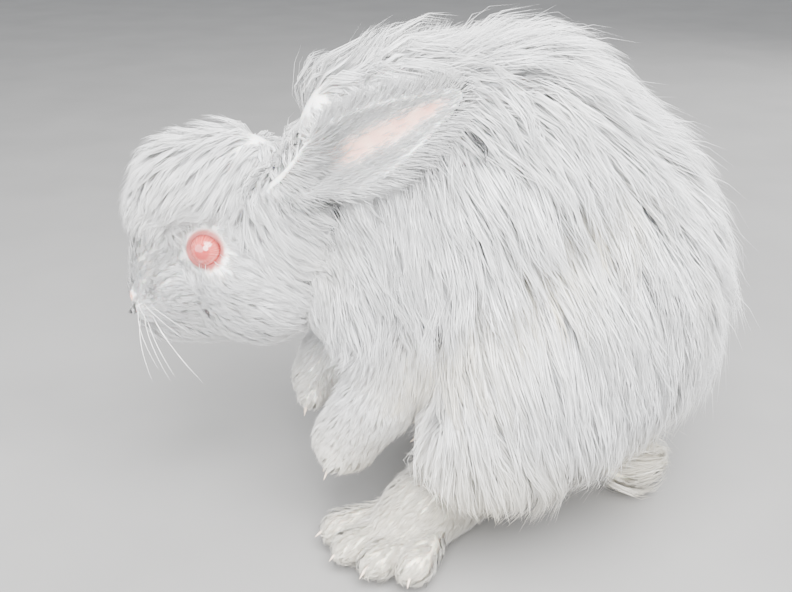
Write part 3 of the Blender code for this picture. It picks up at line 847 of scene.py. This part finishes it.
def ear_strands(roots, normals, side, shares, draw):
    """Short hair that runs along an ear towards its tip and out over its rims."""
    ear = on_ear(roots, side)
    along, across, out = ear_axes(side)
    count = len(roots)
    rim = np.clip(np.abs(ear.turn), 0, 1) * smooth_step(ear.share, 0.12, 0.35)
    edge = rim[:, None] ** 2
    aside = np.outer(np.sign(ear.turn), across)
    outwards = (ear.tangent * np.sign(ear.turn)[:, None] * (1 - edge) + aside * edge) * (0.1 + 0.42 * edge)
    root_end = np.clip(1 - ear.share / 0.35, 0, 1)
    hang = np.outer(root_end, [0.2, 0, -0.9])
    direction = unit(along + outwards + hang + draw.normal(0, 0.12, (count, 3)))
    tip_end = smooth_step(ear.share, 0.7, 1.0)
    length = (10 + 6 * rim**3 + 9 * root_end - 3 * tip_end) * draw.uniform(0.7, 1.15, count)
    lift = (2.2 + 1.5 * root_end) * draw.uniform(0.4, 1.3, count)
    places = []
    for share in shares:
        rise = lift * (1 - (1 - share) ** 2)
        places.append(roots + direction * (length * share)[:, None] + normals * rise[:, None])
    places[0] = roots - normals * EAR_ROOT_DEPTH
    widths = EAR_HAIR_WIDTH * draw.uniform(0.7, 1.25, count)
    inside = (ear.hollow * normals).sum(axis=1, keepdims=True) > 0
    ups = unit(np.where(inside, ear.hollow * 0.8, normals) + [0, 0, 0.4])
    edge = np.where(inside, np.maximum(edge, smooth_step(root_end, 0.1, 0.5)[:, None]), edge)
    ups = unit(ups * (1 - edge) + (out * np.where(inside, 1, 0.6) + [0, 0, 0.7]) * edge)
    return np.stack(places, axis=1), np.repeat(ups[:, None], len(shares), axis=1), widths


# The shares of its length at which a strand has its root, rings of corners and tip.
LONG_SHARES = np.array([0.0, 0.36, 0.74, 1.0])
SHORT_SHARES = np.array([0.0, 0.5, 1.0])
# The down under the long wool: how wide its strands are, how far they reach, how much lower they lie and how
# many there are of them.
DOWN_WIDTH = 3.6
DOWN_REACH = 0.72
DOWN_DROP = 2.5
DOWN_SHARE = 0.09
# How much of a strand's shading comes from the way up from the skin, so that the coat looks like one mass.
WOOL_SOFTNESS = 0.72
FUR_SOFTNESS = 0.6
EAR_SOFTNESS = 0.6


def with_ends(ends, middle):
    """The values of rings along strands, between those of the strands' roots and tips."""
    return np.concatenate([ends[:, :1], middle, ends[:, -1:]], axis=1)


def strand_mesh(name, strands, shares, material, softness):
    """One mesh of closed strands: each has a pointed root, rings of three corners and a pointed tip."""
    places = strands.places
    count, rings = len(places), len(shares) - 2
    run = np.empty_like(places)
    run[:, 0] = places[:, 1] - places[:, 0]
    run[:, 1:-1] = places[:, 2:] - places[:, :-2]
    run[:, -1] = places[:, -1] - places[:, -2]
    run = unit(run)
    across = np.cross(run, strands.ups)
    slant = np.linalg.norm(across, axis=2, keepdims=True)
    across = unit(np.where(slant > 0.25, across, np.cross(run, [0.3, 0.9, -0.3])))
    up = np.cross(across, run)
    profile = np.interp(shares[1:-1], [0, 0.3, 0.6, 1], [0.8, 1.0, 0.85, 0.1])
    half = strands.widths[:, None] * profile / 2
    ways = np.stack([-across, up, across], axis=2)
    section = places[:, 1:-1, None] + ways[:, 1:-1] * (half[:, :, None] * [1.0, 0.7, 1.0])[..., None]
    corners = with_ends(places, section.reshape(count, rings * 3, 3))
    corners[:, :, 2] = np.maximum(corners[:, :, 2], STRAND_FLOOR + 0.1 * np.arange(corners.shape[1]))
    own = with_ends(up, ways[:, 1:-1].reshape(count, rings * 3, 3))
    base = with_ends(up, np.repeat(up[:, 1:-1], 3, axis=1))
    slant = np.clip(slant[:, :, 0] * 1.5, 0, 1) * softness
    soft = with_ends(slant, np.repeat(slant[:, 1:-1], 3, axis=1))[:, :, None]
    normals = unit(base * soft + own * (1 - soft))
    last = rings * 3 + 1
    faces = [(0, 1 + (i + 1) % 3, 1 + i) for i in range(3)]
    for low in range(1, last - 3, 3):
        for i in range(3):
            j = (i + 1) % 3
            faces += [(low + i, low + j, low + 3 + j), (low + i, low + 3 + j, low + 3 + i)]
    faces += [(last - 3 + i, last - 3 + (i + 1) % 3, last) for i in range(3)]
    faces = np.array(faces)
    index = faces[None] + (np.arange(count) * (last + 1))[:, None, None]
    mesh = bpy.data.meshes.new(name)
    mesh.vertices.add(count * (last + 1))
    mesh.vertices.foreach_set("co", (corners * MM).ravel())
    mesh.loops.add(index.size)
    mesh.loops.foreach_set("vertex_index", index.ravel())
    mesh.polygons.add(index.size // 3)
    mesh.polygons.foreach_set("loop_start", np.arange(0, index.size, 3))
    mesh.polygons.foreach_set("use_smooth", np.ones(index.size // 3, bool))
    lengthwise = np.concatenate([[0.0], np.repeat(shares[1:-1], 3), [1.0]])
    crosswise = np.concatenate([[0.0], np.tile([-1.0, 0.0, 1.0], rings), [0.0]])
    layout = np.stack([crosswise * PATCH / 2, (lengthwise - 0.5) * PATCH], axis=1)
    uv = mesh.uv_layers.new(name="OFBake")
    uv.data.foreach_set("uv", np.clip(strands.spots[:, None, None] + layout[faces][None], 0, 1).ravel())
    keep_values(mesh, "grade", np.tile(lengthwise, count))
    keep_values(mesh, "tint", np.repeat(strands.tints, last + 1))
    # Painted shade along the fold between shoulder and haunch, taken at each strand's root.
    keep_values(mesh, "fold_shade", np.repeat(fold_shade_at(strands.places[:, 0]), last + 1))
    mesh.update(calc_edges=True)
    mesh.normals_split_custom_set_from_vertices(normals.reshape(-1, 3))
    mesh.materials.append(material)
    return to_scene(bpy.data.objects.new(name, mesh))


# A coarse copy of the skin, laid out flat, that gives any place on the skin its spot in the layout.
Unwrap = namedtuple("Unwrap", "tree corners spots")


def unwrap_of(skin):
    coarse = skin.copy()
    coarse.data = skin.data.copy()
    to_scene(coarse)
    thin = coarse.modifiers.new("thin", "DECIMATE")
    thin.ratio = UNWRAP_TRIANGLES / len(coarse.data.polygons)
    settle(coarse)
    bpy.ops.object.select_all(action="DESELECT")
    coarse.select_set(True)
    bpy.context.view_layer.objects.active = coarse
    bpy.ops.object.mode_set(mode="EDIT")
    bpy.ops.mesh.select_all(action="SELECT")
    bpy.ops.mesh.quads_convert_to_tris()
    bpy.ops.uv.smart_project(angle_limit=math.radians(66), island_margin=0.002)
    bpy.ops.object.mode_set(mode="OBJECT")
    mesh = coarse.data
    places = vectors_of(mesh.vertices, "co")
    index = vectors_of(mesh.loops, "vertex_index", 1).astype(int).ravel()
    spots = vectors_of(mesh.uv_layers.active.data, "uv", 2)
    corners = places[index].reshape(-1, 3, 3)
    polygons = np.arange(len(index)).reshape(-1, 3).tolist()
    tree = BVHTree.FromPolygons(corners.reshape(-1, 3).tolist(), polygons)
    bpy.data.objects.remove(coarse)
    return Unwrap(tree, corners / MM, spots.reshape(-1, 3, 2))


def spots_of(places, unwrap):
    """Where places on the skin lie in its unwrap."""
    index = np.array([unwrap.tree.find_nearest(place)[2] for place in (places * MM).tolist()])
    a, b, c = (unwrap.corners[index, i] for i in range(3))
    whole = np.cross(b - a, c - a)
    area = np.maximum((whole**2).sum(axis=1), 1e-9)
    second = (np.cross(places - a, c - a) * whole).sum(axis=1) / area
    third = (np.cross(b - a, places - a) * whole).sum(axis=1) / area
    shares = np.clip(np.stack([1 - second - third, second, third], axis=1), 0, 1)
    shares /= shares.sum(axis=1, keepdims=True)
    return (unwrap.spots[index] * shares[:, :, None]).sum(axis=1)


def spread_out(places, spacing):
    """Picks places about evenly apart: the first one found in each cell of a grid of their own spacing."""
    sizes = np.round(np.log2(spacing) * 2).astype(int)
    cells = np.floor(places / (2 ** (sizes / 2))[:, None]).astype(int)
    return np.unique(np.column_stack([cells, sizes]), axis=0, return_index=True)[1]


def nearest_of(places, targets):
    tree = KDTree(len(targets))
    for index, target in enumerate(targets.tolist()):
        tree.insert(target, index)
    tree.balance()
    return np.array([tree.find(place)[1] for place in places.tolist()])


def under(strands):
    """Wide soft strands of down that lie lower and end sooner than the wool they grow among."""
    roots = strands.places[:, :1]
    low = roots + (strands.places - roots) * DOWN_REACH
    low[:, 1:] -= strands.ups[:, 1:] * DOWN_DROP
    wide = strands.widths * DOWN_WIDTH / strands.widths.mean()
    return Strands(low, strands.ups, wide, strands.spots, strands.tints)


# What the random draws start from.
COAT_SEED = 7
WHISKER_SEED = 11
EYE_SEED = 5
# How many places guides are picked from, the least that they stand apart, and how much more for each
# millimetre of hair.
GUIDE_CANDIDATES = 90000
LEAST_SPACING = 1.5
# How far guides stand evenly rather than by the density of the hair.
EVENNESS = 0.3
GUIDE_SPACING = 0.09
# Fewer strands of a kind than this are left out of a piece.
FEWEST_STRANDS = 60


def build_coat(skin, tree, unwrap, looks):
    """Every strand of the coat, as one piece for each part of the body and kind of hair."""
    draw = np.random.default_rng(COAT_SEED)
    surface = surface_of(skin)
    masses = all_masses()
    centres = surface.corners.mean(axis=1)
    flat = unit(surface.normals.sum(axis=1))
    growth = coat_at(centres, masses)
    covered = 1 - BARE_THINNING * bareness(centres, flat)
    ears = {name: on_ear(centres, side).found for name, side in SIDES.items()}
    plain = ~(ears["left"] | ears["right"])
    weights = growth.numbers[:, DENSITY] * covered * plain

    even = weights / growth.numbers[:, DENSITY] ** EVENNESS
    candidates, normals = roots_on(surface, even, GUIDE_CANDIDATES, draw)
    growth = coat_at(candidates, masses)
    chosen = spread_out(candidates, LEAST_SPACING + growth.numbers[:, LENGTH] * GUIDE_SPACING)
    growth = only(growth, chosen)
    guide_roots = candidates[chosen]
    guides = guides_from(guide_roots, normals[chosen], growth, tree, draw)
    guides = drawn_together(guides, growth, draw)

    total = int((surface.areas * weights).sum())
    roots, normals = roots_on(surface, weights, total, draw)
    growth = coat_at(roots, masses)
    guide = nearest_of(roots, guide_roots)
    spots = spots_of(roots, unwrap)
    long = growth.numbers[:, LENGTH] > LONG_HAIR
    kinds = (("wool", long, LONG_SHARES, WOOL_SOFTNESS), ("fur", ~long, SHORT_SHARES, FUR_SOFTNESS))
    made = []
    for piece in sorted(set(growth.pieces)):
        for kind, hair, shares, softness in kinds:
            pick = np.flatnonzero((growth.pieces == piece) & hair)
            if len(pick) < FEWEST_STRANDS:
                continue
            places, ups, widths, keep = strands_from(
                roots[pick], normals[pick], growth.numbers[pick], guide[pick], guides, shares, draw
            )
            strands = only(Strands(places, ups, widths, spots[pick], draw.random(len(pick))), keep)
            made.append(strand_mesh(f"{kind}_{piece}", strands, shares, looks[kind], softness))
            if kind == "wool":
                down = only(strands, draw.random(len(strands.places)) < DOWN_SHARE)
                made.append(strand_mesh(f"down_{piece}", under(down), shares, looks["wool"], softness))
    for name, side in SIDES.items():
        hair = EAR_HAIR_DENSITY * covered * ears[name]
        count = int((surface.areas * hair).sum())
        roots, normals = roots_on(surface, hair, count, draw)
        places, ups, widths = ear_strands(roots, normals, side, SHORT_SHARES, draw)
        strands = Strands(places, ups, widths, spots_of(roots, unwrap), draw.random(count))
        made.append(strand_mesh(f"fur_ear_{name}", strands, SHORT_SHARES, looks["wool"], EAR_SOFTNESS))
    return made


# How wide whiskers are, and the length of those over the eyes.
WHISKER_WIDTH = 0.3
BROW_WHISKER = 26


def whiskers(surface, unwrap, material):
    """Long stiff hairs on the whisker pads and over the eyes."""
    draw = np.random.default_rng(WHISKER_SEED)
    shares = np.linspace(0, 1, 8)
    lines, roots = [], []
    for side in SIDES.values():
        for row in range(3):
            for column in range(3):
                start = at(-159 + 3.6 * column + row, side * 60, 123 - 4.2 * row - 0.6 * column)
                found = surface.ray_cast(start, Vector((0, -side, 0)))[0]
                if found is None:
                    continue
                root = np.array(found) / MM
                length = draw.uniform(34, 52) + 2 * column
                way = np.array([0.05 + 0.22 * column, side, 0.18 - 0.26 * row])
                way += draw.normal(0, 0.07, 3)
                bend = np.array([0.3, -0.1 * side, -0.28]) * draw.uniform(0.6, 1.2)
                way /= np.linalg.norm(way)
                lines.append([root - way * 0.8 + way * length * s + bend * length * s * s for s in shares])
                roots.append(root)
        for column in range(2):
            root = np.array([-124 + 9.0 * column, side * 19.5, 169.5])
            found = np.array(surface.find_nearest((root * MM).tolist())[0]) / MM
            way = np.array([-0.25 + 0.4 * column, side * 0.75, 0.9])
            bend = np.array([0.25, 0.15 * side, -0.3])
            lines.append([found + way * BROW_WHISKER * s + bend * BROW_WHISKER * s * s for s in shares])
            roots.append(found)
    places = np.array(lines)
    ups = np.tile([0.0, 0.0, 1.0], (len(places), len(shares), 1))
    widths = np.full(len(places), WHISKER_WIDTH)
    spots = spots_of(np.array(roots), unwrap)
    strands = Strands(places, ups, widths, spots, draw.random(len(places)))
    return strand_mesh("whiskers", strands, shares, material, 0.0)


def claw_rings(root, forward, length, radius):
    """A claw that curves down from its root."""
    rings = []
    across = forward.cross(Vector((0, 0, 1))).normalized()
    up = across.cross(forward).normalized()
    for step in range(7):
        share = step / 6
        middle = root + forward * length * share - Vector((0, 0, 1)) * length * 0.45 * share * share
        size = radius * (1 - share) ** 0.7 + 0.12
        corners = []
        for corner in range(10):
            turn = math.tau * corner / 10
            corners.append((middle + across * math.cos(turn) * size * 0.8 + up * math.sin(turn) * size) * MM)
        rings.append(corners)
    return rings


# A claw's length and radius on each kind of foot, and how far ahead of and above its toe's tip it starts.
CLAWS = {"hindfoot": (9, 1.7, 4.5, 1.5), "foreleg": (7, 1.3, 4, 0)}


def build_claws(material):
    """The claws of each foot, mostly hidden in its fur."""
    pieces = []
    for name, side in SIDES.items():
        toes = {
            "hindfoot": [toe_line(side, across, along) for across, along in TOES],
            "foreleg": [finger_tip(side, across) for across in FINGERS],
        }
        for foot, (length, radius, ahead, above) in CLAWS.items():
            claws = []
            for root, tip in toes[foot]:
                forward = (tip - root).normalized()
                start = tip + forward * ahead + Vector((0, 0, above))
                claws.append(claw_rings(start, forward, length, radius))
            piece = loft(f"claws_{foot}_{name}", claws)
            shade_smooth(piece)
            piece.data.materials.append(material)
            pieces.append(piece)
    return pieces


def build_eye(name, side, material):
    """An eyeball with a slightly raised cornea. Its iris is drawn by values kept on its corners."""
    draw = np.random.default_rng(EYE_SEED + side)
    waves = [(draw.integers(9, 60), draw.uniform(0, math.tau), draw.uniform(0.3, 1)) for _ in range(14)]
    bm = bmesh.new()
    bmesh.ops.create_uvsphere(bm, u_segments=96, v_segments=56, radius=1)
    eye = new_object(f"eyeball_{name}", bm)
    places = vectors_of(eye.data.vertices, "co")
    polar = np.arccos(np.clip(places[:, 2], -1, 1))
    around = np.arctan2(places[:, 1], places[:, 0])
    streak = sum(size * np.sin(rate * around + shift) for rate, shift, size in waves) / 5
    places *= (EYE_RADIUS * (1 + CORNEA_RISE * np.exp(-((polar / 0.7) ** 4))))[:, None]
    turn = np.array(eye_turn(side))[:3, :3]
    places = places @ turn.T + np.array(eye_middle(side))
    eye.data.vertices.foreach_set("co", (places * MM).ravel())
    keep_values(eye.data, "reach", polar / (math.pi / 2))
    keep_values(eye.data, "streak", streak * smooth_step(polar, 0.1, 0.4) * 0.5 + 0.5)
    shade_smooth(eye)
    eye.data.update()
    eye.data.materials.append(material)
    return eye


class Nodes:
    """Short forms for building a material from nodes."""

    def __init__(self, name):
        self.material = bpy.data.materials.new(name)
        self.material.use_nodes = True
        self.tree = self.material.node_tree
        self.shader = self.tree.nodes["Principled BSDF"]

    def link(self, start, end):
        self.tree.links.new(start, end)

    def paint(self, colour):
        self.link(colour, self.shader.inputs["Base Color"])

    def add(self, kind, **values):
        node = self.tree.nodes.new(kind)
        for key, value in values.items():
            setattr(node, key, value)
        return node

    def attribute(self, name):
        return self.add("ShaderNodeAttribute", attribute_name=name).outputs["Fac"]

    def position(self):
        return self.add("ShaderNodeNewGeometry").outputs["Position"]

    def noise(self, place, scale, detail):
        node = self.add("ShaderNodeTexNoise")
        node.inputs["Scale"].default_value = scale
        node.inputs["Detail"].default_value = detail
        self.link(place, node.inputs["Vector"])
        return node.outputs["Fac"]

    def span(self, value, low, high, start=0.0, end=1.0):
        """Maps a value from one range to another and keeps it there."""
        node = self.add("ShaderNodeMapRange")
        node.inputs["From Min"].default_value = low
        node.inputs["From Max"].default_value = high
        node.inputs["To Min"].default_value = start
        node.inputs["To Max"].default_value = end
        self.link(value, node.inputs["Value"])
        return node.outputs["Result"]

    def ramp(self, value, *stops):
        node = self.add("ShaderNodeValToRGB")
        elements = node.color_ramp.elements
        while len(elements) < len(stops):
            elements.new(0.5)
        for element, (place, colour) in zip(elements, stops):
            element.position = place
            element.color = (*colour, 1)
        self.link(value, node.inputs["Fac"])
        return node.outputs["Color"]

    def math(self, operation, *values):
        node = self.add("ShaderNodeMath", operation=operation, use_clamp=True)
        for socket, value in zip(node.inputs, values):
            self.link(value, socket)
        return node.outputs["Value"]

    def mix(self, factor, first, second, blend="MIX"):
        node = self.add("ShaderNodeMix", data_type="RGBA", blend_type=blend)
        factors, firsts, seconds = node.inputs[0], node.inputs[6], node.inputs[7]
        for socket, value in ((factors, factor), (firsts, first), (seconds, second)):
            if isinstance(value, tuple):
                socket.default_value = (*value, 1)
            else:
                self.link(value, socket)
        return node.outputs[2]

    def bump(self, height, strength, distance):
        node = self.add("ShaderNodeBump")
        node.inputs["Strength"].default_value = strength
        node.inputs["Distance"].default_value = distance
        self.link(height, node.inputs["Height"])
        self.link(node.outputs["Normal"], self.shader.inputs["Normal"])

    def set(self, **values):
        for key, value in values.items():
            self.shader.inputs[key.replace("_", " ")].default_value = value


def stains_and_fold_shade(nodes, colour):
    """Faint cream stains near the floor and in loose patches, and cream-tinted painted shade along the fold
    of the flank.
    """
    place = nodes.position()
    split = nodes.add("ShaderNodeSeparateXYZ")
    nodes.link(place, split.inputs["Vector"])
    low = nodes.span(split.outputs["Z"], 0.085, 0.03, 0.0, 0.85)
    patches = nodes.span(nodes.noise(place, 13, 3), 0.54, 0.74, 0.0, 0.25)
    # The painted shade along the fold is added to the stains here.
    both = nodes.math("ADD", nodes.math("ADD", low, patches), nodes.attribute("fold_shade"))
    return nodes.mix(both, colour, (0.98, 0.9, 0.72), "MULTIPLY")


def hair_material(name, root):
    """White hair: a little darker and warmer at the roots, with cream stains and cream-tinted painted shade
    along the fold of the flank.
    """
    nodes = Nodes(name)
    shade = nodes.ramp(nodes.attribute("grade"), (0.0, root), (0.55, (0.97, 0.967, 0.96)))
    value = nodes.span(nodes.attribute("tint"), 0, 1, 0.94, 1.02)
    vary = nodes.add("ShaderNodeHueSaturation")
    nodes.link(value, vary.inputs["Value"])
    nodes.link(shade, vary.inputs["Color"])
    nodes.paint(stains_and_fold_shade(nodes, vary.outputs["Color"]))
    nodes.set(Roughness=0.7, Specular_IOR_Level=0.2, Sheen_Weight=0.2, Sheen_Roughness=0.5)
    nodes.set(Subsurface_Weight=0.6, Subsurface_Radius=(0.006, 0.0055, 0.005), Subsurface_Scale=1.0)
    return nodes.material


def skin_material():
    """Pink bare skin at the lids, nose and ears, and pale felted down under the coat."""
    nodes = Nodes("skin")
    place = nodes.position()
    pink = nodes.ramp(nodes.noise(place, 90, 4), (0.3, (0.78, 0.43, 0.35)), (0.7, (0.88, 0.58, 0.47)))
    down = nodes.ramp(nodes.noise(place, 160, 3), (0.3, (0.9, 0.88, 0.85)), (0.7, (0.95, 0.94, 0.92)))
    # The down carries the cream stains and the painted shade along the fold.
    colour = nodes.mix(nodes.attribute("bare"), stains_and_fold_shade(nodes, down), pink)
    rim = nodes.attribute("rim")
    nodes.paint(nodes.mix(rim, colour, (0.3, 0.07, 0.065)))
    nodes.bump(nodes.noise(place, 1100, 2), 0.3, 0.0004)
    nodes.set(Roughness=0.55)
    nodes.set(Subsurface_Weight=0.3, Subsurface_Radius=(0.004, 0.0016, 0.001), Subsurface_Scale=1.0)
    return nodes.material


def eye_material():
    """A pink eye without pigment: rosy pupil, streaked iris and a darker edge under a wet surface."""
    nodes = Nodes("eye")
    reach = nodes.attribute("reach")
    streak = nodes.attribute("streak")
    iris = nodes.ramp(streak, (0.2, (0.4, 0.05, 0.045)), (0.8, (0.58, 0.12, 0.1)))
    pupil = nodes.mix(nodes.span(reach, 0.24, 0.34), (0.36, 0.032, 0.03), iris)
    edge = nodes.mix(nodes.span(reach, 0.58, 0.76), pupil, (0.14, 0.015, 0.015))
    nodes.paint(edge)
    nodes.set(Roughness=0.12, Specular_IOR_Level=0.5, Coat_Weight=1.0, Coat_Roughness=0.03, Coat_IOR=1.7)
    nodes.set(Subsurface_Weight=0.1, Subsurface_Radius=(0.002, 0.0006, 0.0006), Subsurface_Scale=1.0)
    return nodes.material


def claw_material():
    """Pale horn, a little uneven."""
    nodes = Nodes("claw")
    grain = nodes.noise(nodes.position(), 400, 3)
    colour = nodes.ramp(grain, (0.3, (0.6, 0.46, 0.36)), (0.7, (0.78, 0.66, 0.54)))
    nodes.paint(colour)
    nodes.set(Roughness=0.35)
    return nodes.material


def whisker_material():
    nodes = Nodes("whisker")
    colour = nodes.ramp(nodes.attribute("grade"), (0.0, (0.9, 0.87, 0.82)), (1.0, (0.97, 0.97, 0.96)))
    nodes.paint(colour)
    nodes.set(Roughness=0.4)
    return nodes.material


def mark_skin(skin):
    """Keeps on the skin's corners where it is bare, and where the dark rim of the lids is."""
    places = vectors_of(skin.data.vertices, "co") / MM
    normals = vectors_of(skin.data.vertices, "normal")
    keep_values(skin.data, "bare", bareness(places, normals))
    # Painted shade along the fold between shoulder and haunch.
    keep_values(skin.data, "fold_shade", fold_shade_at(places))
    rims = np.zeros(len(places))
    for side in SIDES.values():
        reach, height = round_eye(places, side)
        rims = np.maximum(rims, (1 - smooth_step(reach, 9.4, 12.2)) * (height > -4))
    keep_values(skin.data, "rim", rims)


# The colour of each kind of hair at its root.
HAIR_ROOTS = {"wool": (0.9, 0.885, 0.86), "fur": (0.78, 0.745, 0.69)}


def build_rabbit():
    looks = {name: hair_material(name, root) for name, root in HAIR_ROOTS.items()}
    skin_look, eye_look = skin_material(), eye_material()
    skin = skin_form()
    mark_skin(skin)
    skin.data.materials.clear()
    skin.data.materials.append(skin_look)
    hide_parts(*FLESH)
    tree, unwrap = tree_of(skin), unwrap_of(skin)
    pieces = [skin] + build_coat(skin, tree, unwrap, looks)
    pieces.append(whiskers(tree, unwrap, whisker_material()))
    pieces += build_claws(claw_material())
    for piece in pieces:
        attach(piece, "root")
    for name, side in SIDES.items():
        eye = build_eye(name, side, eye_look)
        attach(eye, "root")
        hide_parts(f"eye_{name}")


CAMERA_TARGET = at(-19, 0, 121)
CAMERA_DISTANCE = 600 * MM
CAMERA_ELEVATION = math.radians(22)
METRES_PER_PIXEL = 0.55 * MM
PHOTO_WIDTH = 792
SENSOR = 36.0


def make_camera():
    data = bpy.data.cameras.new("camera")
    data.sensor_fit = "HORIZONTAL"
    data.sensor_width = SENSOR
    data.lens = SENSOR * CAMERA_DISTANCE / METRES_PER_PIXEL / PHOTO_WIDTH
    data.clip_start = 0.01
    camera = bpy.data.objects.new("camera", data)
    back = Vector((0, -math.cos(CAMERA_ELEVATION), math.sin(CAMERA_ELEVATION)))
    camera.location = CAMERA_TARGET + back * CAMERA_DISTANCE
    camera.rotation_euler = back.to_track_quat("Z", "Y").to_euler()
    to_scene(camera)
    bpy.context.scene.camera = camera


def make_floor():
    """A wide pale floor with a faint unevenness in its paint."""
    bpy.ops.mesh.primitive_plane_add(size=8, location=(0, 0, 0))
    floor = bpy.context.object
    floor.name = "floor"
    nodes = Nodes("floor")
    grain = nodes.noise(nodes.position(), 9, 3)
    colour = nodes.ramp(grain, (0.3, (0.2, 0.197, 0.193)), (0.7, (0.22, 0.217, 0.212)))
    nodes.paint(colour)
    nodes.set(Roughness=0.9)
    floor.data.materials.append(nodes.material)


# The middle of the rabbit, and each light's place, size and power.
LIT_PLACE = (0, 0, 0.13)
LIGHTS = {
    "key": ((0.22, -0.6, 1.2), 1.2, 74),
    "front": ((-0.1, -1.3, 0.75), 1.0, 56),
    "fill": ((-1.2, -0.9, 0.4), 1.8, 52),
    "back": ((0.9, 1.0, 0.9), 1.2, 26),
}


def make_light(name, place, size, power):
    data = bpy.data.lights.new(name, "AREA")
    data.shape = "DISK"
    data.size = size
    data.energy = power
    light = bpy.data.objects.new(name, data)
    light.location = place
    light.rotation_euler = (Vector(place) - Vector(LIT_PLACE)).to_track_quat("Z", "Y").to_euler()
    to_scene(light)


def make_stage():
    """Camera, floor and soft light: a key from above, and fills from the front, the left and behind."""
    make_camera()
    make_floor()
    for name, light in LIGHTS.items():
        make_light(name, *light)
    world = bpy.data.worlds.new("world")
    world.use_nodes = True
    sky = world.node_tree.nodes["Background"].inputs
    sky["Color"].default_value = (0.9, 0.93, 0.97, 1)
    sky["Strength"].default_value = 1.15
    bpy.context.scene.world = world


build_rabbit()
make_stage()
